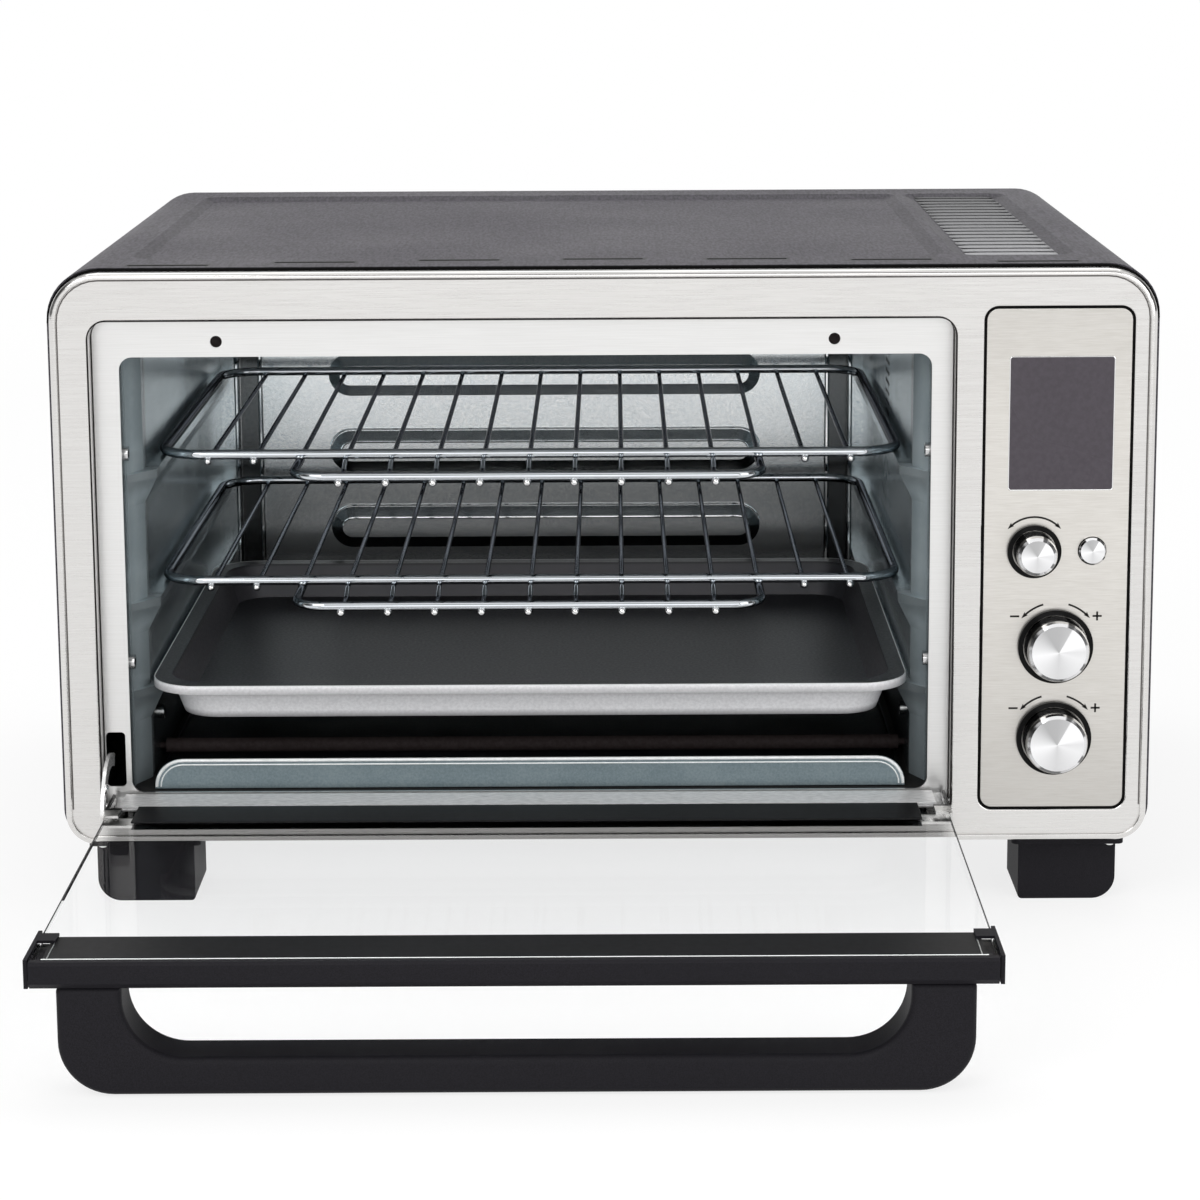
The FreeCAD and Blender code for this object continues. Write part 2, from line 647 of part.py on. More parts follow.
def make_front_frame():
    """Brushed bezel with a rolled bead, a collar round the door and a hole for the controls."""
    body = new_body("front_frame")
    middle_z = frame_z + d.case_height / 2
    rims = (d.frame_corner_top, d.frame_corner_bottom)
    outline = rounded_rectangle(body, "front", 0, 0, middle_z, d.case_width, d.case_height, *rims)
    pad(body, outline, d.frame_depth)
    hollow = [size - 2 * d.frame_skin for size in (d.case_width, d.case_height)]
    inner_rims = [rim - d.frame_skin for rim in rims]
    pocket(
        body,
        rounded_rectangle(body, "front", 0, d.frame_skin, middle_z, *hollow, *inner_rims),
        d.frame_depth,
    )
    recess_x = d.recess_left + d.recess_width / 2
    recess_mid_z = recess_z + d.recess_height / 2
    skin = d.frame_skin
    rounds = (d.recess_corner, d.recess_corner_low)
    collar = [size + 2 * skin for size in (d.recess_width, d.recess_height)]
    collar += [corner + skin for corner in rounds]
    pad(
        body,
        rounded_rectangle(body, "front", recess_x, skin / 2, recess_mid_z, *collar),
        d.recess_depth - skin / 2,
    )
    opening = (d.recess_width, d.recess_height, *rounds)
    pocket(
        body,
        rounded_rectangle(body, "front", recess_x, -1, recess_mid_z, *opening),
        d.recess_depth + 2,
    )
    gap = d.panel_gap
    hole = (d.panel_width + 2 * gap, d.panel_height + 2 * gap, d.panel_corner + gap)
    pocket(body, rounded_rectangle(body, "front", d.panel_x, -1, panel_mid_z, *hole), 4)
    face = (d.case_width, d.case_height, *rims)
    pad(body, rounded_rectangle(body, "front", 0, -1 * d.bead_rise, middle_z, *face), d.bead_rise)
    inside = [size - 2 * d.bead_width for size in (d.case_width, d.case_height)]
    bead_rims = [rim - d.bead_width for rim in rims]
    pocket(
        body,
        rounded_rectangle(body, "front", 0, -1 * d.bead_rise, middle_z, *inside, *bead_rims),
        d.bead_rise,
    )
    for x in (d.recess_left + 1, recess_right + skin + 1):
        hole = circle(body, "side", x, d.hinge_y, hinge_z, d.pin_radius + d.screw_grip)
        pocket(body, hole, skin + 2)
    fillet(body, d.bead_round, level_edge(-1 * d.bead_rise, frame_top_z))
    fillet(body, d.bead_rise / 2, level_edge(-1 * d.bead_rise, frame_top_z - d.bead_width))
    fillet(body, d.edge_round, level_edge(0, recess_z + d.recess_height))
    fillet(body, d.edge_round, level_edge(0, panel_z + d.panel_height + gap))
    return body


def make_inner_front_panel():
    """Plate at the bottom of the door recess, with the cavity's mouth and the hinge slots."""
    body = new_body("inner_front_panel")
    recess_x = d.recess_left + d.recess_width / 2
    recess_mid_z = recess_z + d.recess_height / 2
    skin = d.inner_panel_skin
    flange = d.frame_skin
    plate = [size + 2 * flange for size in (d.recess_width, d.recess_height)]
    plate += [corner + flange for corner in (d.recess_corner, d.recess_corner_low)]
    outline = rounded_rectangle(body, "front", recess_x, d.recess_depth, recess_mid_z, *plate)
    pad(body, outline, skin)
    mouth_x = d.window_left + d.window_width / 2
    mouth_z = window_z + d.window_height / 2
    mouth = (d.window_width, d.window_height, d.window_corner)
    pocket(body, rounded_rectangle(body, "front", mouth_x, 0, mouth_z, *mouth), mouth_y + 1)
    latch_z = window_top_z + d.latch_hole_rise
    for x in (d.window_left + d.latch_hole_inset, window_right - d.latch_hole_inset):
        hole = circle(body, "front", x, 0, latch_z, d.latch_hole_radius)
        pocket(body, hole, mouth_y + 1)
    slot_x = d.recess_left + d.hinge_slot_width / 2 + 1
    slot_height = 2 * d.arm_radius - 18
    slot_z = hinge_z + d.arm_radius - 1
    slot = rounded_rectangle(body, "front", slot_x, 0, slot_z, d.hinge_slot_width, slot_height, 2)
    pocket(body, slot, mouth_y + 1)
    return body


def make_outer_shell():
    """Powder-coated wrap: top, sides and two narrow flanges underneath, with dishes and vents in the top."""
    body = new_body("outer_shell")
    length = d.case_depth - d.rear_skin - d.shell_front_y - d.liner_gap
    middle_z = frame_z + d.case_height / 2
    outline = rounded_rectangle(body, "front", 0, d.shell_front_y, middle_z, *shell_size, *shell_rims)
    pad(body, outline, length)
    inner = [size - 2 * d.shell_skin for size in shell_size]
    inner_rims = [rim - d.shell_skin for rim in shell_rims]
    hollow = rounded_rectangle(body, "front", 0, 0, middle_z, *inner, *inner_rims)
    pocket(body, hollow, d.case_depth)
    underside = d.case_width - 2 * (d.frame_corner_bottom + d.shell_return)
    gap_y = d.case_depth / 2
    opening = rounded_rectangle(body, "top", 0, gap_y, frame_z + 3, underside, d.case_depth + 20, 1)
    pocket(body, opening, 10)
    top_z = frame_top_z + shell_out
    ramp, skin = d.dish_ramp, d.shell_skin
    dish_y = (d.dish_front_y + d.dish_back_y) / 2
    dish_length = d.dish_back_y - d.dish_front_y
    dishes = [
        ((d.dish_split - d.dish_side) / 2, d.dish_split + d.dish_side),
        ((d.dish_split + d.dish_ridge + d.dish_side) / 2, d.dish_side - d.dish_split - d.dish_ridge),
    ]
    for x, width in dishes:
        pan = (width, dish_length, d.dish_corner)
        floor = (width - 2 * ramp, dish_length - 2 * ramp, d.dish_corner - ramp / 2)
        under_top = rounded_rectangle(body, "top", x, dish_y, top_z - skin, *pan)
        under_low = rounded_rectangle(body, "top", x, dish_y, top_z - skin - d.dish_depth, *floor)
        loft(body, "Additive", under_top, under_low)
        upper = rounded_rectangle(body, "top", x, dish_y, top_z, *pan)
        lower = rounded_rectangle(body, "top", x, dish_y, top_z - d.dish_depth, *floor)
        loft(body, "Subtractive", upper, lower)
    slot = (d.front_slot_length, d.front_slot_width, d.front_slot_width / 2 - 0.05)
    last = COUNTS["front_slots"] - 1
    for index in range(COUNTS["front_slots"]):
        across = index - last / 2
        x = d.front_slot_pitch * across
        y = d.front_slot_y + d.front_slot_bow * (1 - (across / (last / 2)) ** 2)
        pocket(body, rounded_rectangle(body, "top", x, y, top_z + 1, *slot), 3)
    vent_x = (d.dish_split + d.dish_ridge + d.dish_side) / 2
    first_y = dish_y - d.louvre_pitch * (COUNTS["louvres"] - 1) / 2
    louvre = (d.louvre_length, d.louvre_width, d.louvre_width / 2 - 0.05)
    first = pocket(body, rounded_rectangle(body, "top", vent_x, first_y, top_z + 1, *louvre), 6)
    linear_pattern(body, first, "V_Axis", d.louvre_pitch, COUNTS["louvres"])
    return body


def make_rear_panel():
    """Back cover with rows of vent slots and the hole for the cord's gland."""
    body = new_body("rear_panel")
    middle_z = frame_z + d.case_height / 2
    back = d.case_depth - d.rear_skin
    pad(body, rounded_rectangle(body, "front", 0, back, middle_z, *shell_size, *shell_rims), d.rear_skin)
    slot = (d.rear_slot_length, d.rear_slot_width, d.rear_slot_width / 2 - 0.05)
    first_z = middle_z - d.rear_slot_pitch * (COUNTS["rear_slots"] - 1) / 2
    for x in (d.rear_rows_left, 0, d.rear_rows_right):
        first = rounded_rectangle(body, "front", x, 0, first_z, *slot)
        row = pocket(body, first, d.case_depth + 1)
        linear_pattern(body, row, "V_Axis", d.rear_slot_pitch, COUNTS["rear_slots"])
    gland = circle(body, "front", cord_x, 0, cord_z, d.gland_radius - 1.5 + d.screw_grip)
    pocket(body, gland, d.case_depth + 1)
    return body


cord_x = d.case_width / 2 - d.gland_inset
cord_z = frame_z + d.gland_z
foot_xs = [
    d.case_width / -2 + d.foot_side_inset + d.foot_width / 2,
    d.case_width / 2 - d.foot_side_inset - d.foot_width / 2,
]
foot_ys = [
    d.foot_front_y + d.foot_length / 2,
    d.case_depth - d.foot_front_y - d.foot_length / 2,
]


def make_base_plate():
    """Bottom cover, which carries the feet and lies on the shell's flanges."""
    body = new_body("base_plate")
    width = d.case_width - 2 * d.frame_skin - 2 * d.frame_corner_bottom
    start = d.frame_depth + d.liner_gap
    length = d.case_depth - d.rear_skin - start - d.liner_gap
    middle = (0, start + length / 2, frame_z)
    pad(body, rounded_rectangle(body, "top", *middle, width, length, 4), d.base_skin)
    for x in foot_xs:
        for y in foot_ys:
            hole = circle(body, "top", x, y, frame_z + 5, d.screw_radius + d.screw_grip)
            pocket(body, hole, 10)
    return body


def make_foot(label, x, y, side):
    """Block foot whose outer lower edge is well rounded. Side is -1 on the left and 1 on the right."""
    body = new_body(label)
    half, reach = d.foot_width / 2, d.foot_length / 2
    corners = [(-half, -reach), (half, -reach), (half, reach), (-half, reach)]
    height = d.foot_height - shell_out - 0.2
    pad(body, polygon(body, "top", x, y, 0, corners), height)
    outer, inner = float(x + half * side), float(x - half * side)

    def lower(edge, place):
        spot = edge.CenterOfMass
        return runs_along(edge, Y_AXIS) and abs(spot.x - place) < 1e-6 and spot.z < 1

    fillet(body, d.foot_round, lambda edge: lower(edge, outer))
    fillet(body, d.foot_edge, lambda edge: lower(edge, inner))
    boss = circle(body, "top", x, y, height - 1, d.screw_radius * 2)
    pad(body, boss, d.foot_height - height + 1)
    bore = circle(body, "top", x, y, d.foot_height + 1, d.screw_radius + d.screw_grip)
    pocket(body, bore, d.foot_height - d.screw_head_height - 6)
    return body


def make_feet():
    screws = []
    names = {(0, -1): "front_left_foot", (0, 1): "front_right_foot"}
    names |= {(1, -1): "rear_left_foot", (1, 1): "rear_right_foot"}
    for row, y in enumerate(foot_ys):
        for side, x in zip((-1, 1), foot_xs):
            make_foot(names[row, side], x, y, side)
            shank_z = frame_z - d.foot_height + d.screw_head_height + 9
            top = frame_z + d.base_skin
            name = f"foot_screw_{row}_{side + 1}"
            shank = cylinder(f"{name}_shank", "z", x, y, shank_z, d.screw_radius, top - shank_z)
            head = cylinder(f"{name}_head", "z", x, y, top, d.screw_head_radius, d.screw_head_height)
            screws.append(fuse(name, shank, head))
    keep(group("foot_screws", screws))


# Cavity

def make_side_wall(label, side):
    """Cavity side: a flat lip behind the mouth, a slanted step and three pressed ledges, open from behind.

    Side is -1 left and 1 right.
    """
    body = new_body(label)
    mouth = d.window_left if side < 0 else window_right
    skin = d.liner_skin
    outer = mouth + side * skin
    wall, tip = mouth - side * d.liner_inset, mouth - side * d.ledge_reach
    wall_back, tip_back = wall + side * skin, tip + side * skin
    low, high = window_z, roof_z - d.liner_gap
    seats = [d.tray_z - d.tray_lip]
    seats += [z - d.rack_wire for z in (d.lower_rack_z, d.upper_rack_z)]
    # Each corner of the pressed sheet: across, up, and its height on the flat lip.
    face, back = [(wall, low, low)], [(wall_back, low, low)]
    for seat in seats:
        top = frame_z + seat - d.rack_play
        foot, lip, under = top - d.ledge_height, top - d.ledge_lip, top - skin
        face += [(wall, foot, foot), (tip, lip, lip), (tip, top, under), (wall, top, top)]
        back += [(wall_back, foot + skin, foot + skin), (tip_back, lip, lip)]
        back += [(tip_back, under, under - skin), (wall_back, under, under)]
    face.append((wall, high, high))
    back.append((wall_back, high, high))
    pressed = [(x, z) for x, z, flat_z in face + back[::-1]]
    flat = [(mouth, flat_z) for x, z, flat_z in face] + [(outer, flat_z) for x, z, flat_z in back[::-1]]
    start_y = mouth_y + d.liner_gap
    step_y = start_y + d.liner_lip
    wall_y = step_y + d.liner_flare
    corners = [(mouth, low), (mouth, high), (outer, high), (outer, low)]
    pad(body, polygon(body, "front", 0, start_y, 0, corners), d.liner_lip)
    step = [(step_y, flat), (wall_y, pressed)]
    loft(body, "Additive", *[polygon(body, "front", 0, y, 0, outline) for y, outline in step])
    length = mouth_y + d.cavity_depth - d.liner_gap - wall_y
    pad(body, polygon(body, "front", 0, wall_y, 0, pressed), length)
    if side > 0:
        middle = (outer + 2, d.fan_y, frame_z + d.fan_z)
        spots = []
        for ring, count in enumerate(COUNTS["wall_holes"]):
            for step in range(count):
                angle = 2 * math.pi * step / count
                turned = (ring * math.cos(angle), ring * math.sin(angle))
                spots.append([d.wall_hole_pitch * share for share in turned])
        pocket(body, circles(body, "side", *middle, d.wall_hole_radius, spots), d.ledge_reach + 6)
    return body


def make_back_wall():
    """Rear of the cavity with three wide pressed ribs and a dark channel at each side."""
    body = new_body("cavity_back_wall")
    middle_x = d.window_left + d.window_width / 2
    low, high = window_z, roof_z - d.liner_gap
    middle_z = (low + high) / 2
    width = d.window_width + 2 * d.liner_skin
    plate = rounded_rectangle(body, "front", middle_x, back_wall_y, middle_z, width, high - low, 1)
    pad(body, plate, d.liner_skin)
    height = high - low - 6
    half = d.channel_width / 2
    for x in (d.channel_left + half, d.channel_right - half):
        outside = (d.channel_width + 2 * d.liner_skin, height + 2 * d.liner_skin, 2)
        shell = rounded_rectangle(
            body, "front", x, back_wall_y + d.liner_skin / 2, middle_z, *outside
        )
        pad(body, shell, d.channel_depth + d.liner_skin / 2)
        inside = (d.channel_width, height, 1.5)
        groove = rounded_rectangle(body, "front", x, back_wall_y - 1, middle_z, *inside)
        pocket(body, groove, d.channel_depth + 1)
    boss_x = d.boss_left + d.boss_length / 2
    round_end = d.boss_height / 2 - 0.05
    for above in (d.boss_upper_z, d.boss_middle_z, d.boss_lower_z):
        z = frame_z + above
        foot = rounded_rectangle(
            body, "front", boss_x, back_wall_y, z, d.boss_length, d.boss_height, round_end
        )
        crown_size = [size - 2 * d.boss_slope for size in (d.boss_length, d.boss_height)]
        crown_round = crown_size[1] / 2 - 0.05
        crown = rounded_rectangle(
            body, "front", boss_x, back_wall_y - d.boss_rise, z, *crown_size, crown_round
        )
        loft(body, "Additive", foot, crown)
        back = back_wall_y + d.liner_skin
        foot_hollow = rounded_rectangle(
            body, "front", boss_x, back, z, d.boss_length, d.boss_height, round_end
        )
        crown_hollow = rounded_rectangle(
            body, "front", boss_x, back - d.boss_rise, z, *crown_size, crown_round
        )
        loft(body, "Subtractive", foot_hollow, crown_hollow)
    return body


def make_roof_and_floor():
    left = d.window_left - d.liner_skin
    width = d.window_width + 2 * d.liner_skin
    start = mouth_y + d.liner_gap
    length = d.cavity_depth + d.liner_skin - d.liner_gap
    keep(box("cavity_roof", left, start, roof_z, width, length, d.liner_skin))
    floor_z = window_z - d.liner_skin - d.liner_gap / 2
    keep(box("cavity_floor", left, start, floor_z, width, length, d.liner_skin))


def make_heaters():
    """Four sheathed elements across the cavity, on ceramic bushes in the side walls."""
    bushes = []
    rows = [("upper", d.heater_top_z), ("lower", d.heater_low_z)]
    ends = [("front", d.heater_front_y), ("rear", d.heater_rear_y)]
    inset = 3
    for row, above in rows:
        for end, y in ends:
            z = frame_z + above
            left, right = wall_left + inset, wall_right - inset
            name = f"{row}_{end}_heater"
            rod = cylinder(f"{name}_rod", "x", left, y, z, d.heater_radius, right - left)
            pin_left = wall_left - d.liner_skin - d.insulator_length - 4
            pin_right = wall_right + d.liner_skin + d.insulator_length + 4
            pin = cylinder(
                f"{name}_pin", "x", pin_left, y, z, d.heater_pin_radius, pin_right - pin_left
            )
            keep(fuse(name, rod, pin))
            for side, start in (
                ("left", wall_left - d.liner_skin - d.insulator_length - 0.1),
                ("right", wall_right + d.liner_skin + 0.1),
            ):
                bush_name = f"{name}_{side}_bush"
                bush = cylinder(
                    f"{bush_name}_body", "x", start, y, z, d.insulator_radius, d.insulator_length
                )
                bore_radius = d.heater_pin_radius + d.screw_grip
                bore = cylinder(
                    f"{bush_name}_bore", "x", start - 1, y, z, bore_radius, d.insulator_length + 2
                )
                bushes.append(cut(bush_name, bush, bore))
    keep(group("heater_bushes", bushes))


def bore_side_walls():
    """Holes in the side walls for the elements' pins and the probe."""
    places = [
        (y, z)
        for z in (frame_z + d.heater_top_z, frame_z + d.heater_low_z)
        for y in (d.heater_front_y, d.heater_rear_y)
    ]
    depth = d.ledge_reach + d.liner_skin + 8
    walls = {
        "cavity_left_wall": d.window_left + d.ledge_reach + 2,
        "cavity_right_wall": window_right + d.liner_skin + 2,
    }
    for label, x in walls.items():
        body = doc.getObjectsByLabel(label)[0]
        holes = circles(body, "side", x, 0, 0, d.heater_pin_radius + 0.4, places)
        pocket(body, holes, depth)
    body = doc.getObjectsByLabel("cavity_right_wall")[0]
    hole = circle(
        body, "side", window_right + 3, probe_y, probe_z, d.probe_radius + d.shaft_play
    )
    pocket(body, hole, depth)


probe_y = d.heater_rear_y + 36
probe_z = frame_z + d.heater_top_z - 8


# Racks and trays

def make_rack(label, above):
    """Wire rack: a loop, cross rods from front to back and a lower tongue before the middle rods."""
    z = float(frame_z + above)
    wire, rod = float(d.rack_wire), float(d.rack_rod)
    left, right = float(d.rack_left) + wire, float(d.rack_left + d.rack_width) - wire
    near, far = float(d.rack_front_y) + wire, float(d.rack_back_y) - wire
    loop = tube_along(wire_loop(left, right, near, far, z, d.rack_corner), wire)
    middle = (left + right) / 2
    pitch, drop = float(d.rack_pitch), float(d.tongue_drop)
    reach = float(d.tongue_front_y) + wire
    weld = float(d.rack_weld)
    rod_z = z - wire - rod + weld
    parts = []
    for index in range(COUNTS["cross_rods"]):
        across = index - (COUNTS["cross_rods"] - 1) / 2
        x = middle + across * pitch
        inner = abs(across) <= (COUNTS["tongue_rods"] - 1) / 2
        if not inner:
            start = Vector(x, near - wire, rod_z)
            parts.append(Part.makeCylinder(rod, far - near + 2 * wire, start, Y_AXIS))
            continue
        end = Vector(x, far + wire, rod_z)
        bend = Vector(x, near - 4, rod_z)
        foot = Vector(x, near - 12, rod_z - drop)
        tip = Vector(x, reach - wire, rod_z - drop)
        for start, stop in ((end, bend), (bend, foot), (foot, tip)):
            step = stop - start
            parts.append(Part.makeCylinder(rod, step.Length, start, step))
        parts += [Part.makeSphere(rod, bend), Part.makeSphere(rod, foot)]
    half = (COUNTS["tongue_rods"] + 1) / 2 * pitch
    low = rod_z - drop + rod + wire * 0.9 - weld
    corner = 14.0
    bow = corner * (1 - math.sqrt(0.5))
    root = near + wire * 1.3
    path = [
        Part.LineSegment(Vector(middle - half, root, low), Vector(middle - half, reach + corner, low)),
        Part.Arc(
            Vector(middle - half, reach + corner, low),
            Vector(middle - half + bow, reach + bow, low),
            Vector(middle - half + corner, reach, low),
        ),
        Part.LineSegment(
            Vector(middle - half + corner, reach, low), Vector(middle + half - corner, reach, low)
        ),
        Part.Arc(
            Vector(middle + half - corner, reach, low),
            Vector(middle + half - bow, reach + bow, low),
            Vector(middle + half, reach + corner, low),
        ),
        Part.LineSegment(Vector(middle + half, reach + corner, low), Vector(middle + half, root, low)),
    ]
    tongue = tube_along(Part.Wire([p.toShape() for p in path]), wire * 0.9)
    rack = loop.fuse([tongue] + parts).removeSplitter()
    return feature(label, rack)


def make_baking_tray():
    """Shallow pan with sloping walls and a flat rim whose edge is turned down."""
    body = new_body("baking_tray")
    rim_width = d.rack_width
    x = d.rack_left + d.rack_width / 2
    y = d.tray_front_y + d.tray_length / 2
    top = frame_z + d.tray_z
    skin, rim = d.tray_skin, d.tray_rim
    mouth = [size - 2 * rim for size in (rim_width, d.tray_length)]
    bottom = [size - 2 * d.tray_taper for size in mouth]
    floor_z = top - d.tray_depth
    corner = d.tray_corner - rim / 2
    floor_corner = corner - d.tray_taper / 2
    rim_sketch = rounded_rectangle(
        body, "top", x, y, top - d.tray_lip, rim_width, d.tray_length, d.tray_corner
    )
    pad(body, rim_sketch, d.tray_lip)
    under = [size - 2 * skin for size in (rim_width, d.tray_length)]
    under_sketch = rounded_rectangle(
        body, "top", x, y, top - skin, *under, d.tray_corner - skin
    )
    pocket(body, under_sketch, d.tray_lip + 1)
    grow = 2 * skin
    outer_top = rounded_rectangle(
        body, "top", x, y, top - skin / 2, mouth[0] + grow, mouth[1] + grow, corner + skin
    )
    outer_low = rounded_rectangle(
        body, "top", x, y, floor_z, bottom[0] + grow, bottom[1] + grow, floor_corner + skin
    )
    loft(body, "Additive", outer_top, outer_low)
    inner_top = rounded_rectangle(body, "top", x, y, top + 0.01, *mouth, corner)
    inner_low = rounded_rectangle(body, "top", x, y, floor_z + skin, *bottom, floor_corner)
    loft(body, "Subtractive", inner_top, inner_low)
    return body


def make_crumb_tray():
    """Flat tray on the cavity's floor with low side edges and a round-cornered front flap."""
    body = new_body("crumb_tray")
    x = d.window_left + d.window_width / 2
    near = d.tray_front_y + 3
    z = window_z + d.crumb_play
    skin = d.liner_skin
    plate = rounded_rectangle(
        body, "top", x, near + d.crumb_length / 2, z, d.crumb_width, d.crumb_length, 3
    )
    pad(body, plate, d.crumb_edge)
    inner = [size - 2 * skin for size in (d.crumb_width, d.crumb_length)]
    hollow = rounded_rectangle(
        body, "top", x, near + d.crumb_length / 2, z + d.crumb_edge + 1, *inner, 2
    )
    pocket(body, hollow, d.crumb_edge + 1 - skin)
    half = d.crumb_width / 2
    corner = d.crumb_corner
    flap_height = d.crumb_flap + corner
    flap = rounded_rectangle(
        body, "front", x, near, z + d.crumb_flap - flap_height / 2, half * 2, flap_height, corner * 0.7, 1
    )
    pad(body, flap, skin)
    under = rounded_rectangle(body, "front", x, near - 1, z - flap_height / 2, half * 2 + 2, flap_height, 0.5)
    pocket(body, under, 4)
    return body


# Controls

function_z = frame_z + d.function_z
KNOBS = [
    ("function", d.function_x, function_z, d.small_knob_radius),
    ("temperature", d.big_knob_x, frame_z + d.temperature_z, d.big_knob_radius),
    ("time", d.big_knob_x, frame_z + d.time_z, d.big_knob_radius),
]


def make_control_panel():
    body = new_body("control_panel")
    sheet_size = (d.panel_width, d.panel_height, d.panel_corner)
    outline = rounded_rectangle(body, "front", d.panel_x, panel_face_y, panel_mid_z, *sheet_size)
    pad(body, outline, d.panel_skin)
    fillet(body, d.panel_round, level_edge(panel_face_y, panel_z + d.panel_height))
    play = d.window_play
    opening = (d.display_width + 2 * play, d.display_height + 2 * play, d.display_corner + play)
    display_z = frame_z + d.display_z
    pocket(body, rounded_rectangle(body, "front", d.display_x, -5, display_z, *opening), 20)
    for name, x, z, radius in KNOBS:
        pocket(body, circle(body, "front", x, -5, z, d.shaft_radius + 1), 20)
    hole = circle(body, "front", d.button_x, -5, function_z, d.button_radius + d.button_play)
    pocket(body, hole, 20)
    return body


def make_panel_carrier():
    """Black moulding behind the control panel. It fills the gap round the panel and holds the boards."""
    body = new_body("panel_carrier")
    gap = d.panel_gap
    edge = 3
    back = panel_back_y + 0.1
    size = (d.panel_width + 2 * (gap + edge), d.panel_height + 2 * (gap + edge), d.panel_corner + gap + edge)
    outline = rounded_rectangle(body, "front", d.panel_x, back, panel_mid_z, *size)
    pad(body, outline, d.board_y - back)
    hollow = (d.panel_width - 4, d.panel_height - 4, d.panel_corner)
    inner = rounded_rectangle(body, "front", d.panel_x, back + 2, panel_mid_z, *hollow)
    pocket(body, inner, d.board_y)
    display_z = frame_z + d.display_z
    opening = (d.display_width + 1, d.display_height + 1, d.display_corner)
    pocket(body, rounded_rectangle(body, "front", d.display_x, -5, display_z, *opening), 20)
    for name, x, z, radius in KNOBS:
        pocket(body, circle(body, "front", x, -5, z, d.shaft_radius + 2), 20)
    hole = circle(body, "front", d.button_x, -5, function_z, d.button_radius + d.button_play)
    pocket(body, hole, 20)
    return body


def make_display():
    display_z = frame_z + d.display_z
    body = new_body("display_window")
    size = (d.display_width, d.display_height, d.display_corner)
    pane = rounded_rectangle(body, "front", d.display_x, panel_face_y + 0.2, display_z, *size)
    pad(body, pane, 2)
    module_y = panel_face_y + 2.4
    left = d.display_x - d.display_width / 2 + 1
    low = display_z - d.display_height / 2 + 1
    depth = d.board_y - module_y
    keep(box("display_module", left, module_y, low, d.display_width - 2, depth, d.display_height - 2))


def make_boards():
    """Control board on the carrier's back and the power board behind it."""
    width, height = d.panel_width - 6, d.panel_height - 20
    left, low = d.panel_x - width / 2, panel_mid_z - height / 2
    board = box("control_board_sheet", left, d.board_y, low, width, d.board_skin, height)
    switch_y = panel_back_y + 8
    switch = box(
        "control_board_switch",
        d.button_x - 3,
        switch_y,
        function_z - 3,
        6,
        d.board_y - switch_y,
        6,
    )
    keep(fuse("control_board", board, switch))
    power_y = d.board_y + 14
    plate = box("power_board_sheet", left, power_y, low + 4, width, d.board_skin, height * 0.5)
    parts = [plate]
    for index, (dx, dz, size) in enumerate(((8, 12, 16), (34, 20, 14), (14, 62, 20))):
        block = box(
            f"power_board_part_{index}", left + dx, power_y + d.board_skin, low + dz, size, size, size
        )
        parts.append(block)
    for index, dz in enumerate((10, 90)):
        post = cylinder(
            f"power_board_post_{index}", "y", left + 4, d.board_y + d.board_skin, low + dz, 2.5, 12.5
        )
        parts.append(post)
    keep(fuse("power_board", *parts))


def make_knob(name, x, z, radius):
    """Turned knob with a domed rim, its shaft, the encoder and the dark ring on the panel."""
    face = panel_face_y
    ring_outer = radius + d.knob_play + d.knob_ring_width
    ring = cylinder(f"{name}_ring_disc", "y", x, face - d.knob_ring_height, z, ring_outer, d.knob_ring_height)
    ring_bore = cylinder(
        f"{name}_ring_bore", "y", x, face - d.knob_ring_height - 1, z, radius + d.knob_play, d.knob_ring_height + 2
    )
    keep(cut(f"{name}_knob_ring", ring, ring_bore))
    body = new_body(f"{name}_knob")
    gap = 0.5
    height = d.knob_height
    bore = d.shaft_radius
    corners = [
        (-1 * height, 0),
        (-1 * height, radius - 2.2),
        (-1 * height + 1.0, radius - 0.9),
        (-1 * height + 2.6, radius - 0.3),
        (-gap, radius),
        (-gap, bore),
        (-1 * height + 5, bore),
        (-1 * height + 5, 0),
    ]
    revolve(body, polygon(body, "side", x, face, z, corners))
    shaft_y = face - height + 5
    end_y = d.board_y - 0.5
    keep(cylinder(f"{name}_shaft", "y", x, shaft_y, z, d.shaft_radius - d.shaft_play, end_y - shaft_y))
    half = d.encoder_size / 2
    encoder_y = d.board_y - d.encoder_depth
    case = box(
        f"{name}_encoder_case", x - half, encoder_y, z - half, d.encoder_size, d.encoder_depth, d.encoder_size
    )
    bush_y = panel_back_y + 2.3
    bush = cylinder(f"{name}_encoder_bush", "y", x, bush_y, z, d.shaft_radius + 1.6, encoder_y - bush_y + 1)
    hole = cylinder(
        f"{name}_encoder_bore", "y", x, bush_y - 1, z, d.shaft_radius, d.board_y - 0.2 - bush_y + 1
    )
    keep(cut(f"{name}_encoder", fuse(f"{name}_encoder_solid", case, bush), hole))


def make_button():
    """Start button that slides in the panel, with its return spring on the switch."""
    face = panel_face_y
    cap_back = panel_back_y + 3
    front = face - d.button_height
    body = new_body("start_button")
    radius = d.button_radius
    depth = cap_back - front
    corners = [
        (0, 0),
        (0, radius - 0.8),
        (0.8, radius),
        (depth, radius),
        (depth, 0),
    ]
    revolve(body, polygon(body, "side", d.button_x, front, function_z, corners))
    spring_length = float(panel_back_y + 8 - cap_back)
    turns, wire = 5, 0.35
    pitch = (spring_length - 2 * wire) / turns
    coil = Part.makeHelix(pitch, spring_length - 2 * wire, float(radius) - 3)
    start = Vector(float(radius) - 3, 0, 0)
    ring = Part.Wire([Part.Circle(start, Y_AXIS, wire).toShape()])
    spring = coil.makePipeShell([ring], True, True)
    spring.rotate(Vector(), X_AXIS, -90)
    spring.translate(point(d.button_x, cap_back + wire, function_z))
    feature("button_spring", spring)


# Convection fan, probe and cord gland

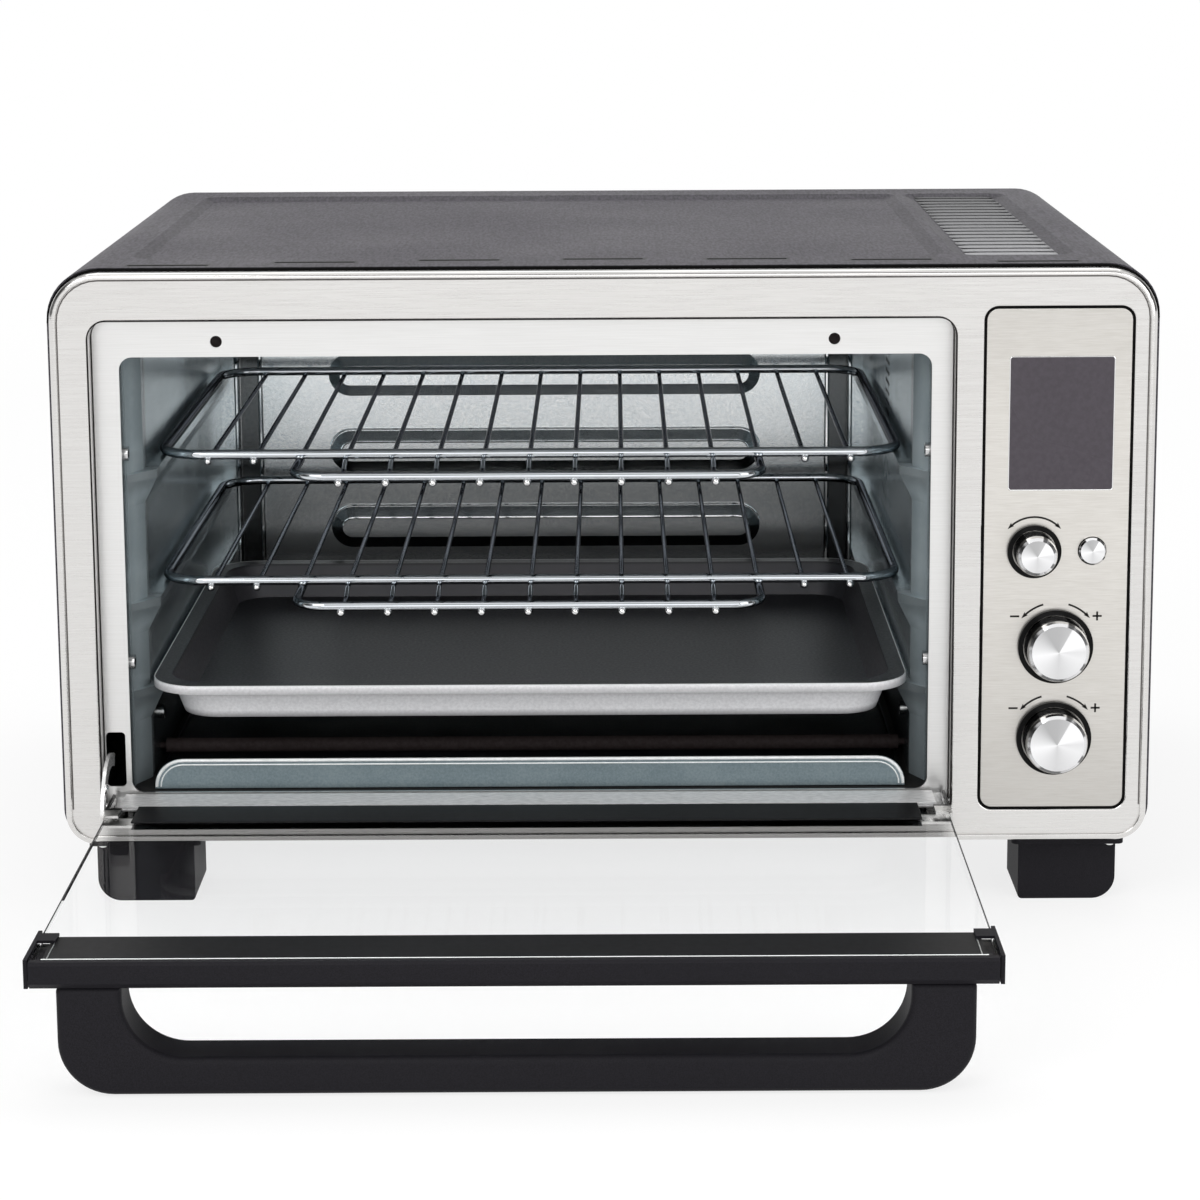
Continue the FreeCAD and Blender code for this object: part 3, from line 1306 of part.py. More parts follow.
def make_fan():
    """Blade wheel behind the perforated wall, its motor and the bracket that carries it."""
    y, z = d.fan_y, frame_z + d.fan_z
    wheel_x = window_right + d.liner_skin + d.fan_wall_gap
    plate = cylinder("fan_wheel_plate", "x", wheel_x + d.fan_depth, y, z, d.fan_radius * 0.8, 1)
    motor_x = wheel_x + d.fan_depth + 7
    hub = cylinder("fan_wheel_hub", "x", wheel_x + 2, y, z, 6, d.fan_depth + 2)
    shaft_end = motor_x + d.motor_length - 4
    shaft = cylinder("fan_wheel_shaft", "x", wheel_x + 4, y, z, d.fan_shaft_radius, shaft_end - wheel_x - 4)
    parts = [plate, hub, shaft]
    blades = COUNTS["fan_blades"]
    for index in range(blades):
        blade = doc.addObject("Part::Box", f"fan_wheel_blade_{index}")
        bind(blade, "Length", d.fan_depth + 0.5)
        bind(blade, "Width", d.fan_blade_length)
        bind(blade, "Height", d.bracket_skin)
        angle = 2 * math.pi * index / blades
        blade.Placement = Placement(Vector(), Rotation(X_AXIS, math.degrees(angle)))
        along, aside = math.cos(angle), math.sin(angle)
        root_y = d.fan_blade_root * along - d.fan_blade_shift * aside
        root_z = d.fan_blade_root * aside + d.fan_blade_shift * along
        bind(blade, "Placement.Base.x", wheel_x)
        bind(blade, "Placement.Base.y", front_y + y + root_y)
        bind(blade, "Placement.Base.z", z + root_z)
        parts.append(blade)
    keep(fuse("fan_wheel", *parts))
    can = cylinder("fan_motor_can", "x", motor_x, y, z, d.motor_radius, d.motor_length)
    bore_radius = d.fan_shaft_radius + d.shaft_play
    bore = cylinder("fan_motor_bore", "x", motor_x - 1, y, z, bore_radius, d.motor_length - 2)
    keep(cut("fan_motor", can, bore))
    bracket_x = motor_x + d.motor_length
    foot_x = shell_width / 2 - d.shell_skin - d.shell_gap
    reach = foot_x - bracket_x
    height = 2 * d.motor_radius + 16
    skin = d.bracket_skin
    web = box("fan_bracket_web", bracket_x, y - 16, z - height / 2, skin, 32, height)
    arms = []
    for name, low in (("low", z - height / 2), ("high", z + height / 2 - skin)):
        arms.append(box(f"fan_bracket_{name}", bracket_x, y - 16, low, reach, 32, skin))
    foot = box("fan_bracket_foot", foot_x - skin, y - 16, z - height / 2, skin, 32, height)
    keep(fuse("fan_bracket", web, foot, *arms))


def make_probe():
    x = wall_right - d.probe_length
    length = d.probe_length + 18
    rod = cylinder("probe_rod", "x", x, probe_y, probe_z, d.probe_radius, length)
    collar_x = wall_right + d.liner_skin + 0.05
    collar = cylinder("probe_collar", "x", collar_x, probe_y, probe_z, d.probe_radius + 2, 5)
    keep(fuse("temperature_probe", rod, collar))


def make_cord_gland():
    """Strain relief in the rear panel, for the supply cord."""
    outer_y = d.case_depth
    neck_y = d.case_depth - d.rear_skin - 4
    neck_radius = d.gland_radius - 1.5
    neck = cylinder("gland_neck", "y", cord_x, neck_y, cord_z, neck_radius, d.rear_skin + 5)
    nose = cylinder("gland_nose", "y", cord_x, outer_y, cord_z, d.gland_radius, d.gland_stand)
    nut = cylinder("gland_nut", "y", cord_x, neck_y - 1, cord_z, d.gland_radius + 1.5, 5)
    bore = cylinder("gland_bore_hole", "y", cord_x, neck_y - 3, cord_z, d.gland_bore, d.gland_stand * 4)
    keep(cut("cord_gland", fuse("gland_solid", neck, nose, nut), bore))


# Door

def make_door_glass():
    body = new_body("door_glass")
    x = d.glass_left + d.glass_width / 2
    length = d.glass_length + d.glass_heel
    y = glass_near_y - length / 2
    pane = rounded_rectangle(body, "top", x, y, glass_z, d.glass_width, length, 1.5)
    pad(body, pane, d.glass_skin)
    return body


def make_door_rail():
    """Steel rail that clips over the hinge end of the glass. It lies on the glass's inner face."""
    left = d.glass_left + d.rail_inset
    width = d.glass_width - 2 * d.rail_inset
    near = glass_near_y + d.glass_play
    skin = d.rail_skin
    lid = box("rail_lid", left, near - d.rail_depth, glass_top_z, width, d.rail_depth, skin)
    web = box("rail_web", left, near, glass_z - skin, width, skin, d.glass_skin + 2 * skin)
    under = box("rail_under", left, near - 10, glass_z - skin, width, 10, skin)
    keep(fuse("door_bottom_rail", lid, web, under))


def make_door_bracket(label, side):
    """Steel corner piece beside the glass. It holds the pivot pin and folds over the glass as a small tab."""
    skin = d.bracket_skin
    play = d.glass_play
    outer = d.glass_left if side < 0 else glass_right
    cheek_x = outer - play - skin if side < 0 else outer + play
    cheek_y = d.hinge_y - d.bracket_length
    length = d.bracket_length + d.bracket_heel
    low = glass_z - skin - play / 2
    height = d.glass_skin + 2 * skin + play
    cheek = box(f"{label}_cheek", cheek_x, cheek_y, low, skin, length, height)
    width = d.bracket_tab_width
    tab_x = cheek_x if side < 0 else cheek_x + skin - width
    tab_z = low + height - skin
    tab = box(f"{label}_tab", tab_x, cheek_y + 2, tab_z, width, d.bracket_tab_length, skin)
    width = d.bracket_shelf
    shelf_x = cheek_x if side < 0 else cheek_x + skin - width
    shelf = box(f"{label}_shelf", shelf_x, cheek_y, low, width, d.bracket_length * 0.6, skin)
    boss = cylinder(
        f"{label}_boss", "x", cheek_x, d.hinge_y, hinge_z, d.pin_radius + 1.6, skin
    )
    solid = fuse(f"{label}_solid", cheek, tab, shelf, boss)
    bore = cylinder(
        f"{label}_bore", "x", cheek_x - 1, d.hinge_y, hinge_z, d.pin_radius + d.pin_play, skin + 2
    )
    keep(cut(label, solid, bore))


def make_hinge_pins():
    """Two pivot pins, fixed in the front frame's collar, on which the door's brackets turn."""
    pins = []
    left_end = d.recess_left - d.frame_skin
    right_end = recess_right + d.frame_skin
    reach_left = d.glass_left - d.glass_play - left_end
    pins.append(
        cylinder("left_hinge_pin", "x", left_end, d.hinge_y, hinge_z, d.pin_radius, reach_left)
    )
    start = glass_right + d.glass_play
    pins.append(
        cylinder("right_hinge_pin", "x", start, d.hinge_y, hinge_z, d.pin_radius, right_end - start)
    )
    keep(group("hinge_pins", pins))


def make_hinge_arm():
    """Curved arm about the door's axis. It passes the slot in the inner panel as the door turns."""
    inner = d.arm_radius - d.arm_width / 2
    outer = d.arm_radius + d.arm_width / 2
    x = float(d.recess_left + d.arm_inset)
    start = 180.0
    stop = start - float(d.arm_sweep)
    centre = point(0, d.hinge_y, hinge_z)

    def spot(radius, degrees):
        angle = math.radians(degrees)
        return Vector(
            x, centre.y + float(radius) * math.cos(angle), centre.z + float(radius) * math.sin(angle)
        )

    middle = (start + stop) / 2
    edges = [
        Part.Arc(spot(outer, start), spot(outer, middle), spot(outer, stop)).toShape(),
        Part.LineSegment(spot(outer, stop), spot(inner, stop)).toShape(),
        Part.Arc(spot(inner, stop), spot(inner, middle), spot(inner, start)).toShape(),
        Part.LineSegment(spot(inner, start), spot(outer, start)).toShape(),
    ]
    arm = Part.Face(Part.Wire(edges)).extrude(Vector(float(d.arm_skin), 0, 0))
    cheek_x = float(d.glass_left - d.glass_play - d.bracket_skin)
    width, height = float(d.arm_width), float(d.glass_skin)
    corner = Vector(x, spot(d.arm_radius, start).y - width / 2, float(glass_z))
    stub = Part.makeBox(cheek_x - x, width, height, corner)
    feature("hinge_arm", arm.fuse(stub).removeSplitter())


def make_trim():
    """Black moulding along the door's far edge: a channel round the glass with ribs under it."""
    body = new_body("door_top_trim")
    length = d.glass_width - 1
    left = d.glass_left + 0.5
    skin = d.trim_skin
    base = glass_z - 0.05
    near = glass_far_y + d.trim_depth - d.trim_nose
    front = door_front_y
    low = base - d.trim_height
    top = glass_top_z + 0.05
    corners = [
        (near, base),
        (near, low),
        (front + 2.5, low),
        (front, low + 2.5),
        (front, top - 0.6),
        (front + 1.2, top + 0.6),
        (glass_far_y + 1.2, top + 0.6),
        (glass_far_y + 1.2, top),
        (glass_far_y - 0.2, top),
        (glass_far_y - 0.2, base),
    ]
    outline = polygon(body, "side", left, 0, 0, corners)
    pad(body, outline, length)
    cell_depth = d.trim_depth - 9
    cell_y = near - 2.2 - cell_depth / 2
    cells = int(float(length) / float(d.trim_cell)) - 2
    first_x = left + length / 2 - d.trim_cell * (cells - 1) / 2
    cell = rounded_rectangle(
        body, "top", first_x, cell_y, base + 0.02, d.trim_cell - 1.6, cell_depth, 1.5
    )
    hollow = pocket(body, cell, d.trim_height - skin)
    linear_pattern(body, hollow, "H_Axis", d.trim_cell, cells)
    return body


def make_glass_clips():
    """Black end caps that grip the glass at both ends of the trim."""
    near = glass_far_y + d.trim_depth - d.trim_nose
    clips = []
    for side, name in ((-1, "left_glass_clip"), (1, "right_glass_clip")):
        edge = d.glass_left if side < 0 else glass_right
        wall = 1.6
        wall_x = edge - 0.1 - wall if side < 0 else edge + 0.1
        y = door_front_y + 2
        base = glass_z - 0.05 - d.trim_height
        top = glass_top_z + 0.1
        length = near - y + 4
        cheek = box(f"{name}_cheek", wall_x, y, base, wall, length, top - base + 1.2)
        tab_width = 9
        tab_x = wall_x if side < 0 else wall_x + wall - tab_width
        tab = box(f"{name}_tab", tab_x, near - 8, top, tab_width, 9, 1.2)
        clips.append(fuse(name, cheek, tab))
    keep(group("glass_clips", clips))


def make_handle():
    """U-shaped grip bar: two legs from the trim and a cross bar."""
    body = new_body("door_handle")
    top = glass_z - 0.05 - d.trim_height
    height = top - d.handle_floor_gap
    x = d.handle_left + d.handle_width / 2
    front = door_front_y + 2
    middle_z = d.handle_floor_gap + height / 2
    outline = rounded_rectangle(
        body, "front", x, front, middle_z, d.handle_width, height, 2, d.handle_corner
    )
    pad(body, outline, d.handle_depth)
    inner_width = d.handle_width - 2 * d.handle_leg
    inner_height = height - d.handle_bar + 60
    inner_z = d.handle_floor_gap + d.handle_bar + inner_height / 2
    opening = rounded_rectangle(
        body, "front", x, front - 1, inner_z, inner_width, inner_height, d.handle_inner_corner
    )
    pocket(body, opening, d.handle_depth + 2)
    near, far = float(front), float(front + d.handle_depth)
    roof = float(top)

    def long_edge(edge):
        spot = edge.BoundBox
        flat = abs(spot.YMax - spot.YMin) < 1e-6
        on_face = min(abs(spot.YMin - near), abs(spot.YMin - far)) < 1e-6
        return flat and on_face and spot.ZMin < roof - 3

    fillet(body, d.handle_round, long_edge)
    for side in (0, 1):
        leg_x = d.handle_left + d.handle_leg / 2 + side * (d.handle_width - d.handle_leg)
        hole = circle(
            body, "top", leg_x, front + d.handle_depth / 2, top + 1, d.screw_radius + d.screw_grip
        )
        pocket(body, hole, 16)
    return body


def make_handle_screws():
    """Screws from inside the trim into the handle's legs."""
    top = glass_z - 0.05 - d.trim_height
    y = door_front_y + 2 + d.handle_depth / 2
    screws = []
    for side in (0, 1):
        x = d.handle_left + d.handle_leg / 2 + side * (d.handle_width - d.handle_leg)
        head_z = top + d.trim_skin + 0.02
        shank = cylinder(f"handle_screw_{side}_shank", "z", x, y, top - 13, d.screw_radius, head_z - top + 14)
        head = cylinder(f"handle_screw_{side}_head", "z", x, y, head_z, d.screw_head_radius, d.screw_head_height)
        screws.append(fuse(f"handle_screw_{side}", shank, head))
    keep(group("handle_screws", screws))


def bore_trim():
    """Holes in the trim for the handle's screws, with a flat seat for their heads."""
    body = doc.getObjectsByLabel("door_top_trim")[0]
    y = door_front_y + 2 + d.handle_depth / 2
    for side in (0, 1):
        x = d.handle_left + d.handle_leg / 2 + side * (d.handle_width - d.handle_leg)
        low = glass_z - 0.05 - d.trim_height
        seat = circle(body, "top", x, y, glass_z, d.screw_head_radius + 0.4)
        pocket(body, seat, glass_z - low - d.trim_skin)
        hole = circle(body, "top", x, y, glass_z, d.screw_radius + d.screw_grip)
        pocket(body, hole, 20)


def make_case_screws():
    """Screws that hold the rear panel, and the ones that show on the cavity's side walls."""
    inset = 9
    screws = []
    depth = d.case_depth
    places = [
        (side * (d.case_width / 2 - inset), z)
        for side in (-1, 1)
        for z in (frame_z + 30, frame_z + 130, frame_z + 230)
    ]
    for index, (x, z) in enumerate(places):
        screws.append(
            cylinder(f"rear_screw_{index}", "y", x, depth + 0.02, z, d.screw_head_radius, d.screw_head_height)
        )
    mouth, wall = (d.window_left, window_right), (wall_left, wall_right)
    spots = [(18, 181, mouth), (18, 82.6, mouth), (65, 46, wall), (130, 46, wall)]
    for index, (y, above, (left, right)) in enumerate(spots):
        z = frame_z + above
        for side, x in ((0, left + 0.02), (1, right - 0.02 - d.screw_head_height)):
            name = f"wall_screw_{index}_{side}"
            screws.append(cylinder(name, "x", x, y, z, d.screw_head_radius, d.screw_head_height))
    keep(group("case_screws", screws))


def main():
    make_front_frame()
    make_inner_front_panel()
    make_outer_shell()
    make_rear_panel()
    make_base_plate()
    make_feet()
    make_side_wall("cavity_left_wall", -1)
    make_side_wall("cavity_right_wall", 1)
    make_back_wall()
    make_roof_and_floor()
    make_heaters()
    bore_side_walls()
    make_rack("upper_rack", d.upper_rack_z)
    make_rack("lower_rack", d.lower_rack_z)
    make_baking_tray()
    make_crumb_tray()
    make_control_panel()
    make_panel_carrier()
    make_display()
    make_boards()
    for knob in KNOBS:
        make_knob(*knob)
    make_button()
    make_fan()
    make_probe()
    make_cord_gland()
    make_door_glass()
    make_door_rail()
    make_door_bracket("left_door_bracket", -1)
    make_door_bracket("right_door_bracket", 1)
    make_hinge_pins()
    make_hinge_arm()
    make_trim()
    make_glass_clips()
    make_handle()
    make_handle_screws()
    bore_trim()
    make_case_screws()
    doc.recompute()
    check_and_write()


def check_and_write():
    """Refuses a failed object, then writes each sub-part to its own file."""
    for thing in doc.Objects:
        if {"Invalid", "Error"} & set(thing.State):
            raise ValueError(f"{thing.Label} is {thing.State}")
    os.makedirs("parts", exist_ok=True)
    whole = FreeCAD.BoundBox()
    for piece in pieces:
        shape = piece.Shape
        if shape.isNull() or not shape.isValid():
            raise ValueError(f"{piece.Label} has no valid shape")
        whole.add(shape.BoundBox)
        shape.exportStep(f"parts/{piece.Label}.step")
        print(f"{piece.Label}: {len(shape.Solids)} solids, {shape.Volume / 1000:.2f} cm3")
    print(f"{len(pieces)} sub-parts, {whole}")


main()
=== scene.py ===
# %% [markdown]
# # A convection toaster oven, dressed from its frame
# The frame is the finished model of the oven: every piece has its true size and place, in metres.
# This lesson gives each piece its finish, adds the small things that are only looks, and sets up
# a camera, a floor and a plain studio. Each step says what the real piece is and why it is made this way.

# %% Load the frame
import math

import bmesh
import bpy
from mathutils import Matrix, Vector


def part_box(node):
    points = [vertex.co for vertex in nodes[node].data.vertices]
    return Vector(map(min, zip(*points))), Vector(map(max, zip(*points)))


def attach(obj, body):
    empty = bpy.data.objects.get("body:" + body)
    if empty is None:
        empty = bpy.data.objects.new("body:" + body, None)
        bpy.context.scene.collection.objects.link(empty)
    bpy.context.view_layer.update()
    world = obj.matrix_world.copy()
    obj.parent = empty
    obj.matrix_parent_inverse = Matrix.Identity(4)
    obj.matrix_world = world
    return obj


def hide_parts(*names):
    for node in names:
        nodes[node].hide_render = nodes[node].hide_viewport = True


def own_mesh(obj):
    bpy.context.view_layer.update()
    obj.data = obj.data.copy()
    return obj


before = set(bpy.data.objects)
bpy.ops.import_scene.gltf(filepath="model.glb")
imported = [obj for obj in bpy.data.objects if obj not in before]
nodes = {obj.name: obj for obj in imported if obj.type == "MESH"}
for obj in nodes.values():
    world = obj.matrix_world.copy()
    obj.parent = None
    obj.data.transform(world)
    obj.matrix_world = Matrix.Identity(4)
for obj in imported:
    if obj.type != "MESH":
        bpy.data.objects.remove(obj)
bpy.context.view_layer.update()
MM = 0.001
FACE_Y = -67.4  # the front of the steel frame along Y, in millimetres

# %% [markdown]
# ## Camera
# The photograph looks at the oven from the front and a little above. A tilted camera would normally make the
# case narrower towards its feet, so a small shift takes over part of the tilt and keeps the sides nearly
# upright.

# %% Camera
SENSOR_WIDTH = 36.0
FOCAL_PIXELS, PHOTO_PIXELS = 3114.2, 1200  # fitted to the frame's edges in the photograph
CAMERA_PLACE = (4.8, FACE_Y - 1389.1, 478.7)
CAMERA_TILT, CAMERA_ROLL = 9.78, -0.29  # degrees
camera_data = bpy.data.cameras.new("camera")
camera_data.sensor_width = SENSOR_WIDTH
camera_data.lens = SENSOR_WIDTH * FOCAL_PIXELS / PHOTO_PIXELS
camera_data.shift_x, camera_data.shift_y = -0.0119, -0.16
camera_data.clip_end = 30.0
camera = bpy.data.objects.new("camera", camera_data)
camera.location = Vector(CAMERA_PLACE) * MM
tilt = Matrix.Rotation(math.radians(90 - CAMERA_TILT), 4, "X")
roll = Matrix.Rotation(math.radians(CAMERA_ROLL), 4, "Z")
camera.rotation_euler = (tilt @ roll).to_euler()
bpy.context.scene.collection.objects.link(camera)
bpy.context.scene.camera = camera
print("camera", tuple(round(c, 3) for c in camera.location))

# %% [markdown]
# ## Studio
# A product studio is a pale floor, a white surround and a few large soft lamps. The white that the camera
# sees is set by the Light Path node, so the lamps stay low enough for every colour to render about as it is
# written. Bright metal only looks like metal when it has something dark to mirror. So for mirrored rays the
# surround has what a studio has: dark flags at the sides, a dark band between the floor and the overhead
# lamp, a grey far end.


# %% Small helpers for node trees
def add_node(tree, kind, **settings):
    """A node with its settings."""
    node = tree.nodes.new(kind)
    for name, value in settings.items():
        setattr(node, name, value)
    return node


def feed(tree, socket, value):
    """Links an output to the socket, or writes a plain value into it."""
    if isinstance(value, bpy.types.NodeSocket):
        tree.links.new(value, socket)
    else:
        socket.default_value = value


def math_node(tree, operation, first, second=0.0):
    """One step of arithmetic on outputs or plain numbers."""
    node = add_node(tree, "ShaderNodeMath", operation=operation)
    feed(tree, node.inputs[0], first)
    feed(tree, node.inputs[1], second)
    return node.outputs[0]


def product(tree, first, *others):
    """Multiplies all the values."""
    for other in others:
        first = math_node(tree, "MULTIPLY", first, other)
    return first


def added(tree, first, *others):
    """Adds all the values."""
    for other in others:
        first = math_node(tree, "ADD", first, other)
    return first


def ranged(tree, value, low, high, start=0.35, stop=0.65, soft=False):
    """Turns a value between start and stop into one between low and high."""
    kind = "SMOOTHSTEP" if soft else "LINEAR"
    node = add_node(tree, "ShaderNodeMapRange", interpolation_type=kind)
    for socket, number in zip(node.inputs, (value, start, stop, low, high)):
        feed(tree, socket, number)
    return node.outputs[0]


def between(tree, share, low, high):
    """Goes from low to high as the share goes from 0 to 1."""
    return ranged(tree, share, low, high, 0.0, 1.0)


def tinted(tree, value, dark, light):
    """Mixes two colours by a value."""
    node = add_node(tree, "ShaderNodeMix", data_type="RGBA")
    for socket, given in ((node.inputs["Factor"], value), (node.inputs[6], dark), (node.inputs[7], light)):
        feed(tree, socket, (*given, 1) if isinstance(given, tuple) else given)
    return node.outputs[2]


def seen_directly(tree):
    """1 for rays from the camera, and for mirrored and refracted ones."""
    path = add_node(tree, "ShaderNodeLightPath")
    seen = math_node(tree, "MAXIMUM", path.outputs["Is Camera Ray"], path.outputs["Is Glossy Ray"])
    return math_node(tree, "MAXIMUM", seen, path.outputs["Is Transmission Ray"])


# %% Surround
world = bpy.data.worlds.new("studio_surround")
bpy.context.scene.world = world
world.use_nodes = True
tree = world.node_tree
tree.nodes.clear()
out = add_node(tree, "ShaderNodeOutputWorld")
mix = add_node(tree, "ShaderNodeMixShader")
lit, seen = add_node(tree, "ShaderNodeBackground"), add_node(tree, "ShaderNodeBackground")
lit.inputs["Color"].default_value = (1.0, 1.0, 1.0, 1.0)
lit.inputs["Strength"].default_value = 0.55
direction = add_node(tree, "ShaderNodeTexCoord")
split = add_node(tree, "ShaderNodeSeparateXYZ")
tree.links.new(direction.outputs["Generated"], split.inputs[0])
along_x, _, along_z = split.outputs
side = math_node(tree, "ABSOLUTE", along_x)
flags = ranged(tree, side, 1.0, 0.16, 0.62, 0.86, soft=True)
rises = ranged(tree, along_z, 0.0, 1.0, 0.2, 0.36, soft=True)
falls = ranged(tree, along_z, 1.0, 0.0, 0.62, 0.8, soft=True)
band = between(tree, product(tree, rises, falls), 1.0, 0.34)
shade = product(tree, flags, band)
glossy = add_node(tree, "ShaderNodeLightPath").outputs["Is Glossy Ray"]
tree.links.new(tinted(tree, glossy, (1.0, 1.0, 1.0), shade), seen.inputs["Color"])
tree.links.new(seen_directly(tree), mix.inputs[0])
tree.links.new(lit.outputs[0], mix.inputs[1])
tree.links.new(seen.outputs[0], mix.inputs[2])
tree.links.new(mix.outputs[0], out.inputs[0])


# %% Lamps
def softbox(name, place, aim, size, power):
    """A large soft lamp at place that faces aim."""
    lamp = bpy.data.lights.new(name, "AREA")
    lamp.shape, lamp.size, lamp.size_y, lamp.energy = "RECTANGLE", size[0], size[1], power
    holder = bpy.data.objects.new(name, lamp)
    holder.location = place
    holder.rotation_euler = (Vector(aim) - Vector(place)).to_track_quat("-Z", "Y").to_euler()
    bpy.context.scene.collection.objects.link(holder)
    return holder


softbox("key_lamp", (-1.3, -2.0, 1.9), (0, 0, 0.15), (1.6, 1.2), 20)
softbox("front_lamp", (0.1, -2.6, 1.0), (0, 0.2, 0.15), (2.2, 0.8), 8)
softbox("fill_lamp", (1.7, -1.7, 1.0), (0, 0, 0.15), (1.2, 1.6), 12)
softbox("top_lamp", (0.0, 0.5, 2.0), (0, 0.1, 0.3), (2.0, 1.2), 14)

# %% [markdown]
# ## Floor
# The floor has to look as white as the backdrop and still hold the oven's shadow. Part of its light is its
# own glow, seen only directly, and the rest is the lamps' light, which the oven can shade. Far away it is all
# glow, so no horizon shows.

# %% Floor
floor_mesh = bpy.data.meshes.new("floor")
REACH = 9  # metres from the oven to each side
corners = [(-REACH, -REACH, 0), (REACH, -REACH, 0), (REACH, REACH, 0), (-REACH, REACH, 0)]
floor_mesh.from_pydata(corners, [], [(0, 1, 2, 3)])
floor = bpy.data.objects.new("floor", floor_mesh)
bpy.context.scene.collection.objects.link(floor)
floor_paint = bpy.data.materials.new("floor_paint")
floor_paint.use_nodes = True
tree = floor_paint.node_tree
tree.nodes.clear()
out = add_node(tree, "ShaderNodeOutputMaterial")
matt = add_node(tree, "ShaderNodeBsdfDiffuse")
glow = add_node(tree, "ShaderNodeEmission")
place = add_node(tree, "ShaderNodeTexCoord")
away = add_node(tree, "ShaderNodeVectorMath", operation="LENGTH")
tree.links.new(place.outputs["Object"], away.inputs[0])
near = ranged(tree, away.outputs["Value"], 1.0, 0.0, 0.5, 2.2, soft=True)
seen = seen_directly(tree)
own = between(tree, near, 1.0, 0.78)
tree.links.new(product(tree, seen, own), glow.inputs["Strength"])
paint = between(tree, seen, 0.88, product(tree, near, 0.24))
tree.links.new(tinted(tree, paint, (0.0, 0.0, 0.0), (1.0, 1.0, 1.0)), matt.inputs["Color"])
both = add_node(tree, "ShaderNodeAddShader")
tree.links.new(matt.outputs[0], both.inputs[0])
tree.links.new(glow.outputs[0], both.inputs[1])
tree.links.new(both.outputs[0], out.inputs[0])
floor_mesh.materials.append(floor_paint)

# %% [markdown]
# ## Finishes
# Each finish is one material. They all start from a few shared bricks: a noise that can be stretched along an
# axis, a range that turns it into a roughness or a colour, and a fine bump. Object coordinates are in metres
# here, so a noise scale of 1000 gives a grain of about a millimetre.


# %% Bricks for the finishes
def shader_of(material):
    """The material's one shader."""
    return material.node_tree.nodes["Principled BSDF"]


def finish(name, colour, metallic=0.0, roughness=0.5, **sockets):
    """A material with one Principled shader. Other sockets are set by their names, with _ for a space."""
    material = bpy.data.materials.new(name)
    material.use_nodes = True
    shader = shader_of(material)
    shader.inputs["Base Color"].default_value = (*colour, 1)
    shader.inputs["Metallic"].default_value = metallic
    shader.inputs["Roughness"].default_value = roughness
    for socket, value in sockets.items():
        shader.inputs[socket.replace("_", " ")].default_value = value
    return material, material.node_tree, shader


def grain(tree, scale, detail=3.0, rough=0.6):
    """Noise on the piece's own coordinates. Scale is cells per metre along X, Y and Z."""
    place = add_node(tree, "ShaderNodeTexCoord")
    mapping = add_node(tree, "ShaderNodeMapping")
    mapping.inputs["Scale"].default_value = scale
    noise = add_node(tree, "ShaderNodeTexNoise")
    noise.inputs["Scale"].default_value = 1.0
    noise.inputs["Detail"].default_value = detail
    noise.inputs["Roughness"].default_value = rough
    tree.links.new(place.outputs["Object"], mapping.inputs[0])
    tree.links.new(mapping.outputs[0], noise.inputs["Vector"])
    return noise.outputs["Fac"]


def parts_of(tree, output="Object"):
    """X, Y and Z of the piece's own coordinates in metres, or of its own normal."""
    place = add_node(tree, "ShaderNodeTexCoord")
    split = add_node(tree, "ShaderNodeSeparateXYZ")
    tree.links.new(place.outputs[output], split.inputs[0])
    return split.outputs


def bumped(tree, shader, height, distance, strength=1.0):
    """Gives the shader a fine relief, distance metres deep."""
    bump = add_node(tree, "ShaderNodeBump")
    bump.inputs["Strength"].default_value = strength
    bump.inputs["Distance"].default_value = distance
    tree.links.new(height, bump.inputs["Height"])
    tree.links.new(bump.outputs[0], shader.inputs["Normal"])


# %% [markdown]
# ### Brushed steel
# Stainless sheet that was drawn under an abrasive belt, so its grain runs from side to side. Noise that is
# stretched a hundred times along X gives the same fine level lines, both as roughness and as a faint change
# of colour. The rolled bead round the frame was polished instead, so its grain is taken away where it bends.


# %% Brushed steel
def brushed_steel(name, dark, light, roughness, along, polished_beyond=None, depth=0.00001, metallic=1.0):
    """Steel with level lines. With polished_beyond they fade where the normal turns away from Y."""
    material, tree, shader = finish(name, light, metallic)
    lines = grain(tree, along, detail=3)
    clouds = grain(tree, (6, 6, 6), detail=2)
    value = added(tree, product(tree, lines, 0.75), product(tree, clouds, 0.25))
    tree.links.new(tinted(tree, ranged(tree, value, 0, 1), dark, light), shader.inputs["Base Color"])
    worn = ranged(tree, lines, *roughness)
    if polished_beyond is not None:
        turned = math_node(tree, "ABSOLUTE", parts_of(tree, "Normal")[1])
        flat = ranged(tree, turned, 0.0, 1.0, *polished_beyond)
        worn = added(tree, product(tree, flat, worn), 0.1)
    tree.links.new(worn, shader.inputs["Roughness"])
    bumped(tree, shader, lines, depth)
    return material


frame_steel = brushed_steel(
    "frame_steel", (0.69, 0.675, 0.66), (0.755, 0.745, 0.73), (0.16, 0.24), (40, 40, 2600), (0.93, 0.99),
)
panel_steel = brushed_steel(
    "panel_steel", (0.665, 0.64, 0.60), (0.755, 0.735, 0.70), (0.30, 0.42), (110, 110, 2400),
)
inner_steel = brushed_steel(
    "inner_steel", (0.76, 0.755, 0.745), (0.815, 0.812, 0.805), (0.28, 0.36), (40, 40, 2600),
)
rail_steel = brushed_steel(
    "rail_steel", (0.58, 0.58, 0.58), (0.97, 0.97, 0.97), (0.4, 0.5), (260, 1900, 900), depth=0.00002,
    metallic=0.35,
)


# %% Slow changes of tone
def scaled(tree, colour, factor):
    """A colour times a number."""
    node = add_node(tree, "ShaderNodeVectorMath", operation="SCALE")
    tree.links.new(colour, node.inputs[0])
    tree.links.new(factor, node.inputs["Scale"])
    return node.outputs[0]


